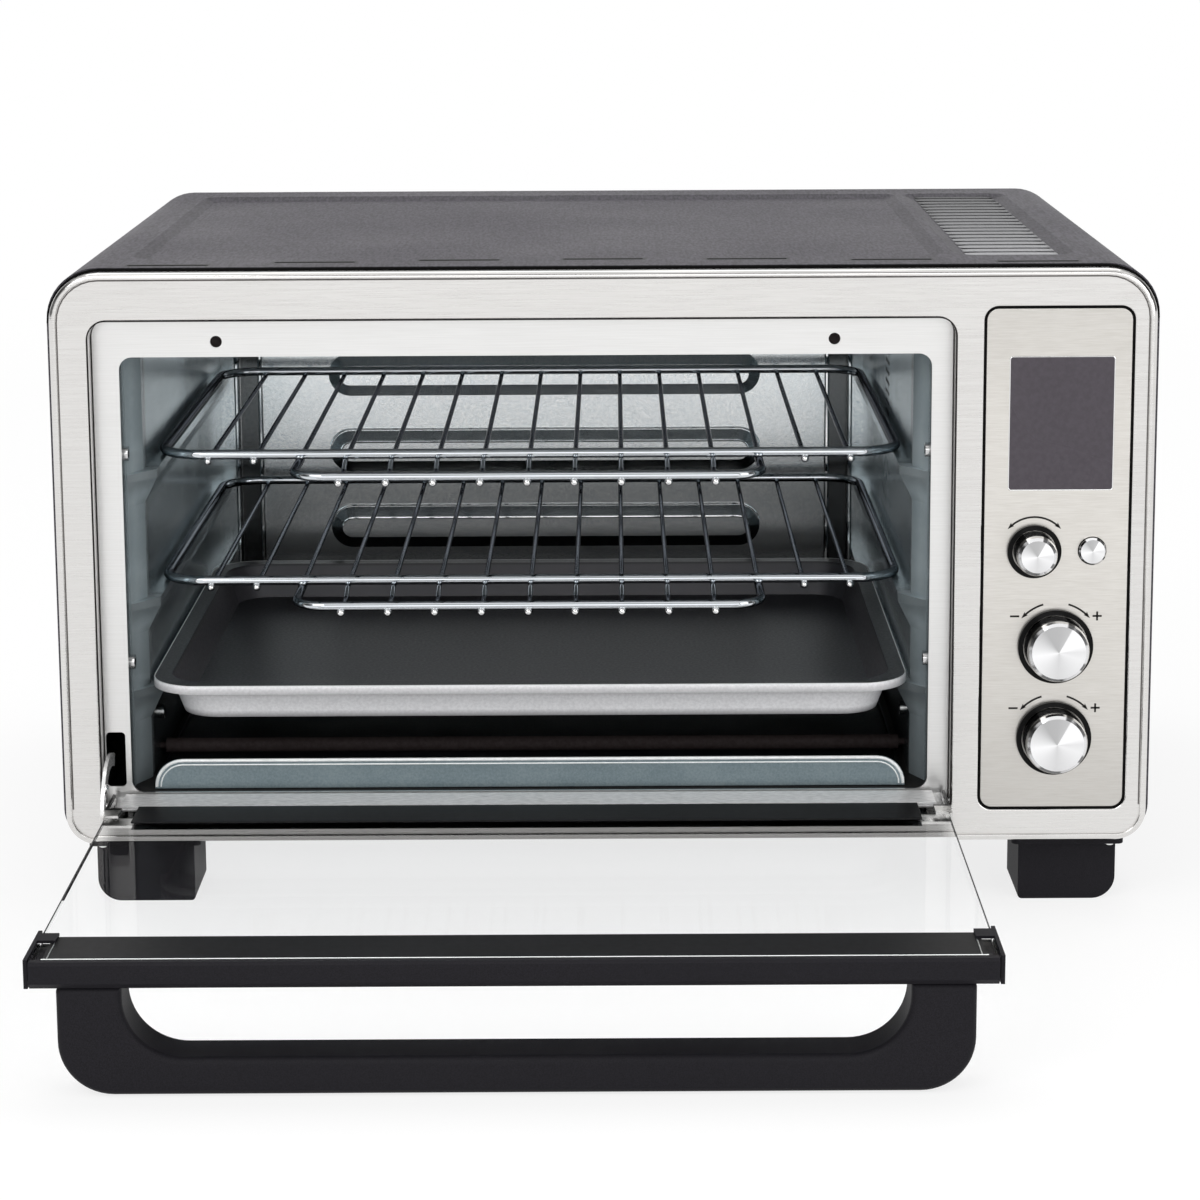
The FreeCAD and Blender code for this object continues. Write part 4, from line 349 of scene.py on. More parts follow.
def scaled_colour(material, factor_of):
    """Multiplies a material's colour by a number field that factor_of builds in its tree."""
    tree = material.node_tree
    colour = shader_of(material).inputs["Base Color"]
    tree.links.new(scaled(tree, colour.links[0].from_socket, factor_of(tree)), colour)
    return material


def tone_curve(tree, value, stops):
    """A number that follows (position, tone) pairs, straight between them."""
    first, last = stops[0][0], stops[-1][0]
    node = add_node(tree, "ShaderNodeValToRGB")
    points = node.color_ramp.elements
    for index, (position, tone) in enumerate(stops):
        share = (position - first) / (last - first)
        point = points[index] if index < 2 else points.new(share)
        point.position = share
        point.color = (tone, tone, tone, 1)
    tree.links.new(ranged(tree, value, 0.0, 1.0, first, last), node.inputs[0])
    return node.outputs[0]


def along_depth(stops):
    """The same pairs with their positions turned from millimetres behind the frame's face to metres."""
    return [((position + FACE_Y) * MM, tone) for position, tone in stops]


def within(tree, value, low, high, blur, soft=False):
    """1 where the value lies between low and high, 0 past them, with edges twice as wide as blur."""
    above = ranged(tree, value, 0.0, 1.0, low - blur, low + blur, soft=soft)
    below = ranged(tree, value, 1.0, 0.0, high - blur, high + blur, soft=soft)
    return product(tree, above, below)


# %% Painted shade on the steel front
PANEL_SHADE_STOPS = [(0.05, 0.78), (0.11, 0.94), (0.17, 1.0), (0.23, 0.99), (0.285, 0.88)]  # metres up, tone


def panel_painted_shade(tree):
    """Painted shade: the panel is a little darker towards its foot and its top."""
    return tone_curve(tree, parts_of(tree)[2], PANEL_SHADE_STOPS)


def frame_painted_shade(tree):
    """Painted shade: the frame's lip under the door is darkened as if the door shaded it, and the bead's top
    is darkened too.
    """
    x, _, z = parts_of(tree)
    low = ranged(tree, z, 1.0, 0.0, 0.0455, 0.0475, soft=True)
    lip = between(tree, product(tree, low, within(tree, x, -0.231, 0.158, 0.005, soft=True)), 1.0, 0.42)
    bead = ranged(tree, parts_of(tree, "Normal")[2], 1.0, 0.7, 0.55, 0.8, soft=True)
    return product(tree, lip, bead)


def collar_metallic(tree):
    """The recess's side is satin, so it stays white where a mirror would show the dark side of the room."""
    x, _, z = parts_of(tree)
    recess = product(tree, within(tree, x, -0.234, 0.1603, 0.0005), within(tree, z, 0.045, 0.281, 0.0005))
    turned = ranged(tree, math_node(tree, "ABSOLUTE", parts_of(tree, "Normal")[1]), 1.0, 0.0, 0.3, 0.7)
    return between(tree, product(tree, recess, turned), 1.0, 0.1)


scaled_colour(panel_steel, panel_painted_shade)
scaled_colour(frame_steel, frame_painted_shade)
tree = frame_steel.node_tree
tree.links.new(collar_metallic(tree), shader_of(frame_steel).inputs["Metallic"])

# %% [markdown]
# ### Galvanised and aluminised sheet
# The cavity is lined with zinc-coated sheet. Seen close, its coating is a fine mottle of about a millimetre,
# not large crystals, and it mirrors the tray and the room as a blur. That blur does part of the work: the
# upper wall mirrors the bright room and the lower wall mirrors the dark tray. The rest is painted: painted
# shade on the back wall's channels and lower half, and painted shade and a painted highlight on the side
# walls.


# %% Zinc and aluminium coats
def coated_sheet(name, dark, light, roughness, cell=800, mottle=0.5, waves=None, metallic=0.85):
    """Coated sheet with a mottle. With waves, the sheet is smooth but not quite flat."""
    material, tree, shader = finish(name, light, metallic)
    fine = grain(tree, (cell, cell, cell), detail=4, rough=0.7)
    wide = grain(tree, (35, 35, 35), detail=3)
    value = added(tree, product(tree, fine, mottle), product(tree, wide, 1 - mottle))
    tree.links.new(
        tinted(tree, ranged(tree, value, 0, 1, 0.38, 0.62), dark, light), shader.inputs["Base Color"],
    )
    tree.links.new(ranged(tree, value, *roughness), shader.inputs["Roughness"])
    if waves:
        bumped(tree, shader, grain(tree, (waves, waves, waves), detail=1), 0.0006, 0.6)
    else:
        bumped(tree, shader, fine, 0.00003)
    return material


back_zinc = coated_sheet(
    "back_zinc", (0.80, 0.85, 0.875), (0.98, 1.0, 1.0), (0.2, 0.26), 700, 0.85, metallic=1.0,
)
roof_zinc = coated_sheet(
    "roof_zinc", (0.80, 0.85, 0.87), (0.95, 0.98, 1.0), (0.4, 0.5), 700, 0.85, metallic=0.4,
)
liner_blue = coated_sheet(
    "liner_blue", (0.70, 0.83, 0.88), (0.82, 0.95, 1.0), (0.2, 0.27), 300, 0.3, waves=24,
)
crumb_blue = coated_sheet("crumb_blue", (0.20, 0.26, 0.285), (0.28, 0.345, 0.37), (0.36, 0.46), 900, 0.7)
plain_zinc = coated_sheet("plain_zinc", (0.34, 0.35, 0.355), (0.50, 0.51, 0.52), (0.38, 0.48), 260, 0.5)

# %% [markdown]
# ### Powder coat, moulded plastic and enamel
# The case is coated with charcoal powder that bakes to a fine grain with a dull shine. The handle and the
# feet are moulded in black plastic from a finely etched mould. Both get their grain from a small bump and
# from specks of a slightly lighter tone.


# %% Powder coat and plastics
def grained(name, dark, light, roughness, cell, depth, metallic=0.0, **sockets):
    """A coat or a plastic with fine specks. Cell is their number in a metre, or one number for each axis."""
    material, tree, shader = finish(name, light, metallic, roughness[1], **sockets)
    fine = grain(tree, cell if isinstance(cell, tuple) else (cell, cell, cell), detail=3)
    wide = grain(tree, (7, 7, 7), detail=2)
    tree.links.new(tinted(tree, ranged(tree, fine, 0, 1), dark, light), shader.inputs["Base Color"])
    tree.links.new(ranged(tree, wide, *roughness), shader.inputs["Roughness"])
    bumped(tree, shader, fine, depth)
    return material


charcoal_powder = grained(
    "charcoal_powder", (0.014, 0.0125, 0.0175), (0.078, 0.070, 0.089), (0.46, 0.54), (800, 160, 800), 0.00025,
)
louvre_powder = grained("louvre_powder", (0.32, 0.32, 0.335), (0.42, 0.42, 0.435), (0.42, 0.5), 1100, 0.0001)
black_moulding = grained(
    "black_moulding", (0.0095, 0.009, 0.011), (0.016, 0.015, 0.019), (0.5, 0.6), 2200, 0.00005,
    Specular_IOR_Level=0.12,
)
print_and_shade_black = grained(
    "print_and_shade_black", (0.006, 0.006, 0.0065), (0.010, 0.010, 0.011), (0.4, 0.5), 300, 0.00001,
    Specular_IOR_Level=0.12,
)
matt_black = grained(
    "matt_black", (0.002, 0.002, 0.002), (0.005, 0.005, 0.005), (0.6, 0.7), 900, 0.00001,
    Specular_IOR_Level=0.05,
)
shade_line_black = grained(
    "shade_line_black", (0.014, 0.012, 0.012), (0.024, 0.021, 0.020), (0.5, 0.6), 300, 0.00001,
    Specular_IOR_Level=0.1,
)
oven_dark = grained(
    "oven_dark", (0.016, 0.016, 0.016), (0.026, 0.026, 0.025), (0.5, 0.6), 400, 0.00002,
    Specular_IOR_Level=0.1,
)
pale_highlight = grained("pale_highlight", (0.84, 0.87, 0.87), (0.97, 0.99, 0.99), (0.3, 0.4), 500, 0.00001, 0.3)
ring_black = grained(
    "ring_black", (0.003, 0.003, 0.003), (0.006, 0.006, 0.006), (0.3, 0.36), 1200, 0.00002,
    Specular_IOR_Level=0.1,
)
seal_black = grained("seal_black", (0.010, 0.010, 0.012), (0.016, 0.016, 0.018), (0.3, 0.4), 900, 0.00002)
heater_brown = grained(
    "heater_brown", (0.030, 0.022, 0.022), (0.042, 0.033, 0.033), (0.6, 0.7), 500, 0.00004,
    Specular_IOR_Level=0.12,
)
ceramic_white = grained("ceramic_white", (0.70, 0.68, 0.62), (0.80, 0.78, 0.72), (0.5, 0.6), 400, 0.00005)
board_green = grained("board_green", (0.02, 0.08, 0.03), (0.03, 0.12, 0.05), (0.3, 0.4), 300, 0.00002)
display_grey = grained(
    "display_grey", (0.064, 0.055, 0.066), (0.076, 0.066, 0.079), (0.26, 0.3), 500, 0.000005,
    Specular_IOR_Level=0.3,
)
mark_black = grained(
    "mark_black", (0.010, 0.009, 0.008), (0.018, 0.016, 0.015), (0.6, 0.7), 900, 0.00001,
    Specular_IOR_Level=0.2,
)

# %% [markdown]
# ### The baking tray's two coats
# The tray has a silver-grey coat outside and on the front edge of its rim, and a charcoal one inside. The
# mesh is one piece, so the side that a point is on is read from its own normal: a wall whose normal points to
# the middle of the tray is inside. One smooth mask then mixes both colours. Both also carry painted light:
# the silver is painted lighter and darker with its height, as painted reflections of the dark floor below and
# the room and a painted shadow under the rim, and the charcoal is painted lighter on the inner walls and
# darker on the flat rim.

# %% Which side of the tray
tray_coat, tree, shader = finish("tray_coat", (0.6, 0.6, 0.61), metallic=0.2, roughness=0.36)
low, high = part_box("baking_tray")
middle = [(a + b) / 2 for a, b in zip(low, high)]
x, y, z = parts_of(tree)
nx, ny, nz = parts_of(tree, "Normal")
to_x = product(tree, math_node(tree, "SUBTRACT", middle[0], x), nx, 8.0)
to_y = product(tree, math_node(tree, "SUBTRACT", middle[1], y), ny, 8.0)
inward = added(tree, to_x, to_y, product(tree, nz, 2.0))
inside = ranged(tree, inward, 0.0, 1.0, 0.15, 0.5, soft=True)
behind_edge = ranged(tree, y, 0.0, 1.0, low[1] + 0.0008, low[1] + 0.0018, soft=True)
inside = product(tree, inside, behind_edge)

# %% Tray coats
fine = grain(tree, (700, 700, 700), detail=3)
streaks = grain(tree, (9, 2.5, 9), detail=2)
silver = tinted(tree, ranged(tree, fine, 0, 1), (0.86, 0.86, 0.88), (0.98, 0.98, 1.0))
SILVER_PAINTED_TONES = [  # metres up, tone
    (0.0885, 0.2), (0.0905, 0.6), (0.0925, 1.0), (0.099, 0.95), (0.1005, 0.85), (0.1012, 0.22),
    (0.1029, 0.22), (0.1031, 0.5), (0.105, 0.72), (0.1065, 1.0), (0.1075, 1.0),
]
# Painted reflections and a painted shadow under the rim, by height.
silver = scaled(tree, silver, tone_curve(tree, z, SILVER_PAINTED_TONES))
charcoal = tinted(tree, ranged(tree, streaks, 0, 1), (0.028, 0.0275, 0.031), (0.040, 0.039, 0.043))
# Painted sheen makes the inner walls lighter, and painted shade makes the flat rim darker.
painted_wall_sheen = ranged(tree, nz, 2.4, 1.0, 0.45, 0.85, soft=True)
painted_rim_shade = ranged(tree, z, 1.0, 0.55, 0.1055, 0.1065, soft=True)
charcoal = scaled(tree, charcoal, product(tree, painted_wall_sheen, painted_rim_shade))
tree.links.new(tinted(tree, inside, silver, charcoal), shader.inputs["Base Color"])
tree.links.new(between(tree, inside, 0.0, 0.2), shader.inputs["Metallic"])
tree.links.new(ranged(tree, fine, 0.32, 0.42), shader.inputs["Roughness"])
bumped(tree, shader, fine, 0.00002)

# %% [markdown]
# ### Chrome, plain metal and glass
# Chrome wire is nearly a mirror, with a little haze. The pane is thin clear glass: with a true index it would
# mirror the whole front at this flat angle, which the toughened, coated pane of an oven door doesn't, so its
# index is low.


# %% Chrome and glass
def bright_metal(name, colour, roughness, cell=300):
    """Polished metal with a faint stain in its colour and its shine."""
    material, tree, shader = finish(name, colour, 1.0, roughness)
    stain = grain(tree, (cell, cell, cell), detail=3)
    tree.links.new(ranged(tree, stain, roughness * 0.8, roughness * 1.3), shader.inputs["Roughness"])
    tree.links.new(tinted(tree, stain, tuple(c * 0.92 for c in colour), colour), shader.inputs["Base Color"])
    return material


rack_chrome = bright_metal("rack_chrome", (0.64, 0.67, 0.70), 0.05)
shader_of(rack_chrome).inputs["Specular Tint"].default_value = (0.12, 0.12, 0.13, 1.0)
arm_chrome = bright_metal("arm_chrome", (0.95, 0.95, 0.95), 0.16)
shader_of(arm_chrome).inputs["Metallic"].default_value = 0.65
bright_chrome = bright_metal("bright_chrome", (0.86, 0.86, 0.86), 0.12)
screw_zinc = bright_metal("screw_zinc", (0.66, 0.66, 0.66), 0.22)
fan_metal = bright_metal("fan_metal", (0.62, 0.62, 0.63), 0.35, 120)
shade_line_grey = bright_metal("shade_line_grey", (0.16, 0.15, 0.145), 0.35, 200)
metal_highlight = bright_metal("metal_highlight", (0.97, 0.98, 0.98), 0.08)
glass_edge = bright_metal("glass_edge", (0.85, 0.88, 0.87), 0.3, 200)
door_pane, tree, shader = finish(
    "door_pane", (0.985, 0.988, 0.99), 0.0, 0.0, IOR=1.05, Transmission_Weight=1.0,
)
dust = grain(tree, (40, 40, 40), detail=3)
tree.links.new(ranged(tree, dust, 0.0, 0.015, 0.5, 0.8), shader.inputs["Roughness"])

# %% [markdown]
# ### Turned knobs
# The knobs' faces were turned on a lathe, so their round grooves spread each lamp into a wedge from the
# middle to the rim. Shading alone gives weak wedges here, so the wedges are painted highlights, laid on the
# face as a colour ramp that runs round the knob's axis, and the polished side gets its own ramp of painted
# reflections, with the short dark and light breaks that such a side mirrors. A knob's own coordinates carry
# both, so they turn with it.


# %% Turned knobs
def around(tree, centre_x, centre_z):
    """Angle about the knob's axis, clockwise from the top, from 0 to 1."""
    x, _, z = parts_of(tree)
    across = math_node(tree, "SUBTRACT", x, centre_x * MM)
    up = math_node(tree, "SUBTRACT", z, centre_z * MM)
    turn = math_node(tree, "DIVIDE", math_node(tree, "ARCTAN2", across, up), math.tau)
    return math_node(tree, "FRACT", added(tree, turn, 1.0))


def ramp(tree, value, stops):
    """A grey ramp from degrees to tone."""
    node = add_node(tree, "ShaderNodeValToRGB")
    points = node.color_ramp.elements
    for index, (degrees, tone) in enumerate(stops):
        point = points[index] if index < 2 else points.new(degrees / 360)
        point.position = degrees / 360
        point.color = (tone, tone, tone * 1.01, 1)
    tree.links.new(value, node.inputs[0])
    return node.outputs[0]


FACE_PAINTED_HIGHLIGHTS = [  # degrees, tone
    (0, 0.50), (360, 0.50), (27, 0.56), (30, 0.97), (74, 0.99), (88, 0.80), (108, 0.88), (140, 0.80),
    (182, 0.70), (215, 0.80), (262, 0.97), (278, 0.84), (300, 0.70), (328, 0.48),
]
SIDE_PAINTED_REFLECTIONS = [
    (0, 0.95), (360, 0.95), (16, 0.95), (19, 0.03), (30, 0.05), (33, 0.5), (60, 0.8), (112, 0.7),
    (116, 0.05), (128, 0.05), (132, 0.8), (170, 0.5), (174, 0.05), (214, 0.05), (220, 0.7), (286, 0.4),
    (300, 0.02), (325, 0.02), (329, 0.95),
]


def turned_metal(name, centre_x, centre_z):
    """A knob's metal, with painted highlights on its face and painted reflections on its side."""
    material, tree, shader = finish(name, (0.8, 0.8, 0.81), 1.0, 0.3)
    angle = around(tree, centre_x, centre_z)
    face = ranged(
        tree, math_node(tree, "ABSOLUTE", parts_of(tree, "Normal")[1]), 0.0, 1.0, 0.75, 0.9, soft=True,
    )
    painted_wedges = tinted(tree, face, ramp(tree, angle, SIDE_PAINTED_REFLECTIONS), ramp(tree, angle, FACE_PAINTED_HIGHLIGHTS))
    tree.links.new(painted_wedges, shader.inputs["Base Color"])
    tree.links.new(between(tree, face, 0.12, 0.34), shader.inputs["Roughness"])
    return material


KNOB_CENTRES = {  # X and Z in millimetres
    "function_knob": (196, 172),
    "temperature_knob": (206.5, 127.4),
    "time_knob": (206.5, 84),
    "start_button": (222.6, 172),
}
knob_metals = {name: turned_metal(name + "_metal", *centre) for name, centre in KNOB_CENTRES.items()}

# %% [markdown]
# ### Parts with painted light and shade
# Some parts are one mesh but look lighter and darker in places, and that light and shade is painted into
# their colour. The shell gets painted shade in its deep slots, its vent and the ramps round its dishes. The
# back wall's upright channels get painted shadow, and its lower half a painted reflection of the dark tray.
# The side walls get painted shade behind the mouth, and the door's brackets are painted dark except at their
# front tabs. A mask on the part's own coordinates or normal places the painted shade, which needs no cut in
# the mesh.


# %% Painted shade on the shell
def slot_painted_shade(tree):
    """Painted shade round the seven bowed slots in the shell's top."""
    x, y, _ = parts_of(tree)
    slots = []
    for index in range(-3, 4):
        bow = 16 * (1 - (index / 3) ** 2)
        off_x = math_node(tree, "ABSOLUTE", math_node(tree, "SUBTRACT", x, index * 66 * MM))
        off_y = math_node(tree, "ABSOLUTE", math_node(tree, "SUBTRACT", y, (FACE_Y + 18 + bow) * MM))
        in_x = ranged(tree, off_x, 1.0, 0.0, 0.0185, 0.0205, soft=True)
        in_y = ranged(tree, off_y, 1.0, 0.0, 0.0028, 0.0046, soft=True)
        slots.append(product(tree, in_x, in_y))
    return between(tree, added(tree, *slots), 1.0, 0.1)


def shell_top(tree):
    """1 on the shell's top and 0 on its sides."""
    return ranged(tree, parts_of(tree)[2], 0.0, 1.0, 0.2985, 0.2995)


def louvre_painted_shade(tree):
    """Deep shade between the louvre's lips."""
    x, y, _ = parts_of(tree)
    off_x = math_node(tree, "ABSOLUTE", math_node(tree, "SUBTRACT", x, 191 * MM))
    across = ranged(tree, off_x, 1.0, 0.0, 0.0205, 0.022)
    deep = tone_curve(tree, y, along_depth([(49, 0.0), (51, 1.0), (314, 1.0), (316, 0.0)]))
    return between(tree, product(tree, shell_top(tree), across, deep), 1.0, 0.12)


def ramp_painted_shade(tree):
    """Painted shade: the ramps round the shell's dishes are a little darker than the flat sheet."""
    away = ranged(tree, math_node(tree, "ABSOLUTE", parts_of(tree)[0]), 1.0, 0.0, 0.228, 0.234)
    tilted = ranged(tree, parts_of(tree, "Normal")[2], 1.0, 0.0, 0.94, 0.997)
    return between(tree, product(tree, tilted, shell_top(tree), away), 1.0, 0.76)


# Painted shade: the louvre's lips darken towards the back.
LOUVRE_PAINTED_FADE = [(50, 1.0), (120, 0.7), (330, 0.2)]  # millimetres behind the face, tone
for tone in (slot_painted_shade, ramp_painted_shade, louvre_painted_shade):
    scaled_colour(charcoal_powder, tone)
scaled_colour(louvre_powder, lambda tree: tone_curve(tree, parts_of(tree)[1], along_depth(LOUVRE_PAINTED_FADE)))


# %% Painted shade on the back wall and the brackets
def paint_shade_between(material, masks, dark):
    """Darkens the material between the two places of each mask, (axis, from, to) in millimetres."""

    def masked(tree):
        place = parts_of(tree)
        shares = []
        for axis, start, stop in masks:
            shares.append(within(tree, place["XYZ".index(axis)], start * MM, stop * MM, 0.4 * MM))
        return between(tree, added(tree, *shares), 1.0, dark)

    return scaled_colour(material, masked)


# Painted shadow: the back wall's two upright channels are darkened.
paint_shade_between(back_zinc, [("X", -204, -193), ("X", 124, 135)], 0.16)
# Painted shade: the back wall's lower part is darker, a painted reflection of the dark tray.
scaled_colour(back_zinc, lambda tree: ranged(tree, parts_of(tree)[2], 0.52, 1.0, 0.135, 0.172, soft=True))
bracket_steel = bright_metal("bracket_steel", (0.66, 0.655, 0.64), 0.3, 200)
# Painted shade: the brackets are darkened to near black except at their front tabs.
paint_shade_between(bracket_steel, [("Y", FACE_Y - 19, FACE_Y + 20)], 0.03)

# %% Painted light and shade on the side walls and the crumb tray
LINER_SHADE_DEPTHS = [  # millimetres behind the face, tone
    (8, 0.06), (15, 0.08), (19, 0.42), (28, 0.52), (36, 0.36), (42, 0.34), (48, 0.6), (150, 0.8),
    (320, 0.7),
]
LINER_SHADE_HEIGHTS = [(0.05, 0.3), (0.085, 0.36), (0.115, 0.8), (0.15, 1.0), (0.3, 1.0)]  # metres up, tone


def on_lip(tree):
    """1 on the side walls' flat lip behind the mouth, 0 deeper in."""
    return ranged(tree, parts_of(tree)[1], 1.0, 0.0, (FACE_Y + 38) * MM, (FACE_Y + 46) * MM, soft=True)


def liner_painted_light(tree):
    """Side walls: painted shade at the edge behind the mouth, a painted highlight on the fold, darker ledge
    fronts, then painted shade towards the back and the floor.
    """
    _, y, z = parts_of(tree)
    deep = tone_curve(tree, y, along_depth(LINER_SHADE_DEPTHS))
    low = tone_curve(tree, z, LINER_SHADE_HEIGHTS)
    low = math_node(tree, "MAXIMUM", low, product(tree, on_lip(tree), 0.7))
    ledge = ranged(tree, parts_of(tree, "Normal")[1], 0.42, 1.0, -0.75, -0.5, soft=True)
    return product(tree, ledge, deep, low)


tree = liner_blue.node_tree
tree.links.new(between(tree, on_lip(tree), 0.85, 0.25), shader_of(liner_blue).inputs["Metallic"])
scaled_colour(liner_blue, liner_painted_light)
# Painted shade: the crumb tray darkens towards the back, where the baking tray shades it.
scaled_colour(crumb_blue, lambda tree: ranged(tree, parts_of(tree)[1], 1.0, 0.06, -0.0505, -0.047, soft=True))

# %% [markdown]
# ### Which part has which finish
# Each node of the frame takes one material. A table from a material to its nodes is easy to read, and the
# last line names any node that was forgotten.

# %% Give each node its finish
FEET = ["front_left_foot", "front_right_foot", "rear_left_foot", "rear_right_foot"]
KNOBS = ("function", "temperature", "time")
FINISHES = {
    frame_steel: ["front_frame"],
    panel_steel: ["control_panel"],
    inner_steel: ["inner_front_panel"],
    rail_steel: ["door_bottom_rail"],
    back_zinc: ["cavity_back_wall"],
    liner_blue: ["cavity_left_wall", "cavity_right_wall"],
    roof_zinc: ["cavity_roof"],
    oven_dark: ["cavity_floor"],
    crumb_blue: ["crumb_tray"],
    plain_zinc: ["rear_panel", "base_plate", "fan_motor", "fan_bracket"],
    charcoal_powder: ["outer_shell"],
    black_moulding: [*FEET, "panel_carrier", "cord_gland", "door_top_trim", "glass_clips", "door_handle"],
    ring_black: [knob + part for knob in KNOBS for part in ("_knob_ring", "_encoder")],
    tray_coat: ["baking_tray"],
    heater_brown: ["upper_front_heater", "upper_rear_heater", "lower_front_heater", "lower_rear_heater"],
    ceramic_white: ["heater_bushes"],
    board_green: ["control_board", "power_board"],
    display_grey: ["display_window", "display_module"],
    rack_chrome: ["upper_rack", "lower_rack", "button_spring"],
    arm_chrome: ["hinge_arm"],
    bracket_steel: ["left_door_bracket", "right_door_bracket"],
    screw_zinc: [
        "case_screws", "foot_screws", "handle_screws", "hinge_pins", "temperature_probe",
        *[knob + "_shaft" for knob in KNOBS],
    ],
    fan_metal: ["fan_wheel"],
    door_pane: ["door_glass"],
    **{metal: [name] for name, metal in knob_metals.items()},
}
for material, names in FINISHES.items():
    for name in names:
        slots = nodes[name].data.materials
        slots.clear()
        slots.append(material)
left_over = set(nodes) - {name for names in FINISHES.values() for name in names}
print("nodes without a finish:", sorted(left_over))

# %% [markdown]
# ## Pieces that repeat
# What repeats is made with Geometry Nodes: one tree says how a single piece looks and where its copies go,
# and a few named numbers set its sizes. The result is turned into a plain mesh, so it can ride on a body and
# be exported.


# %% A tree, and growing a piece from it
def piece_of(name, mesh, material, body):
    """Puts a finished mesh in the scene as a piece that rides on a body."""
    if mesh.materials.find(material.name) < 0:
        mesh.materials.clear()
        mesh.materials.append(material)
    piece = bpy.data.objects.new(name, mesh)
    bpy.context.scene.collection.objects.link(piece)
    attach(piece, body)
    print(name, "has", len(mesh.polygons), "faces and rides on", body)
    return piece


def geometry_tree(name, sizes):
    """An empty Geometry Nodes tree with a number input for each size."""
    tree = bpy.data.node_groups.new(name, "GeometryNodeTree")
    tree.interface.new_socket("Geometry", in_out="INPUT", socket_type="NodeSocketGeometry")
    for label, value in sizes.items():
        kind = "NodeSocketInt" if isinstance(value, int) else "NodeSocketFloat"
        tree.interface.new_socket(label, in_out="INPUT", socket_type=kind)
    tree.interface.new_socket("Geometry", in_out="OUTPUT", socket_type="NodeSocketGeometry")
    return tree, add_node(tree, "NodeGroupInput"), add_node(tree, "NodeGroupOutput")


def closed_off(tree, out, geometry, material):
    """Ends a tree: real geometry instead of instances, then the material."""
    real = add_node(tree, "GeometryNodeRealizeInstances")
    dressed = add_node(tree, "GeometryNodeSetMaterial")
    dressed.inputs["Material"].default_value = material
    tree.links.new(geometry, real.inputs[0])
    tree.links.new(real.outputs[0], dressed.inputs["Geometry"])
    tree.links.new(dressed.outputs[0], out.inputs[0])


def copied(tree, points, instance):
    """Sets a copy of the instance on every point, and returns the node."""
    copies = add_node(tree, "GeometryNodeInstanceOnPoints")
    tree.links.new(points, copies.inputs["Points"])
    tree.links.new(instance, copies.inputs["Instance"])
    return copies


def grown(name, tree, sizes, seed, smooth=True):
    """Runs the tree on a seed and returns the result as a plain mesh."""
    holder = bpy.data.objects.new(name + "_seed", seed)
    bpy.context.scene.collection.objects.link(holder)
    modifier = holder.modifiers.new("grow", "NODES")
    modifier.node_group = tree
    for item in tree.interface.items_tree:
        if item.in_out == "INPUT" and item.name in sizes:
            modifier[item.identifier] = sizes[item.name]
    graph = bpy.context.evaluated_depsgraph_get()
    mesh = bpy.data.meshes.new_from_object(holder.evaluated_get(graph))
    bpy.data.objects.remove(holder)
    mesh.name = name
    mesh.polygons.foreach_set("use_smooth", [smooth] * len(mesh.polygons))
    return mesh


def seed_points(name, points):
    """A mesh of loose points, given in millimetres from the frame's face."""
    seed = bpy.data.meshes.new(name + "_points")
    seed.from_pydata([(x * MM, (y + FACE_Y) * MM, z * MM) for x, y, z in points], [], [])
    return seed


# %% [markdown]
# ### Louvre lips
# Behind each of the 19 vent slots the sheet is pressed up into a low lip that sheds drops. A line of points
# gives their places, and each copy is a small grid that is lifted most at its back edge and given a
# thickness. The lifted grid and the turned-over one are joined and merged, so each lip is closed.

# %% One lip
lip_sizes = {"Lips": 19, "Pitch": 0.0142, "Width": 0.043, "Reach": 0.0074, "Rise": 0.0002, "Sheet": 0.0004}
tree, sizes, out = geometry_tree("louvre_lip", lip_sizes)
sheet = add_node(tree, "GeometryNodeMeshGrid")
sheet.inputs["Vertices X"].default_value, sheet.inputs["Vertices Y"].default_value = 13, 6
tree.links.new(sizes.outputs["Width"], sheet.inputs["Size X"])
tree.links.new(sizes.outputs["Reach"], sheet.inputs["Size Y"])
where = add_node(tree, "GeometryNodeInputPosition")
split = add_node(tree, "ShaderNodeSeparateXYZ")
tree.links.new(where.outputs[0], split.inputs[0])
across = math_node(tree, "DIVIDE", product(tree, split.outputs[0], 2.0), sizes.outputs["Width"])
across = math_node(tree, "SUBTRACT", 1.0, math_node(tree, "POWER", math_node(tree, "ABSOLUTE", across), 5.0))
back = added(tree, 0.5, math_node(tree, "DIVIDE", split.outputs[1], sizes.outputs["Reach"]))
back = math_node(tree, "SUBTRACT", 1.0, math_node(tree, "POWER", math_node(tree, "SUBTRACT", 1.0, back), 1.6))
lift = product(tree, across, back, sizes.outputs["Rise"])
up = add_node(tree, "ShaderNodeCombineXYZ")
tree.links.new(lift, up.inputs[2])
lifted = add_node(tree, "GeometryNodeSetPosition")
tree.links.new(sheet.outputs[0], lifted.inputs["Geometry"])
tree.links.new(up.outputs[0], lifted.inputs["Offset"])

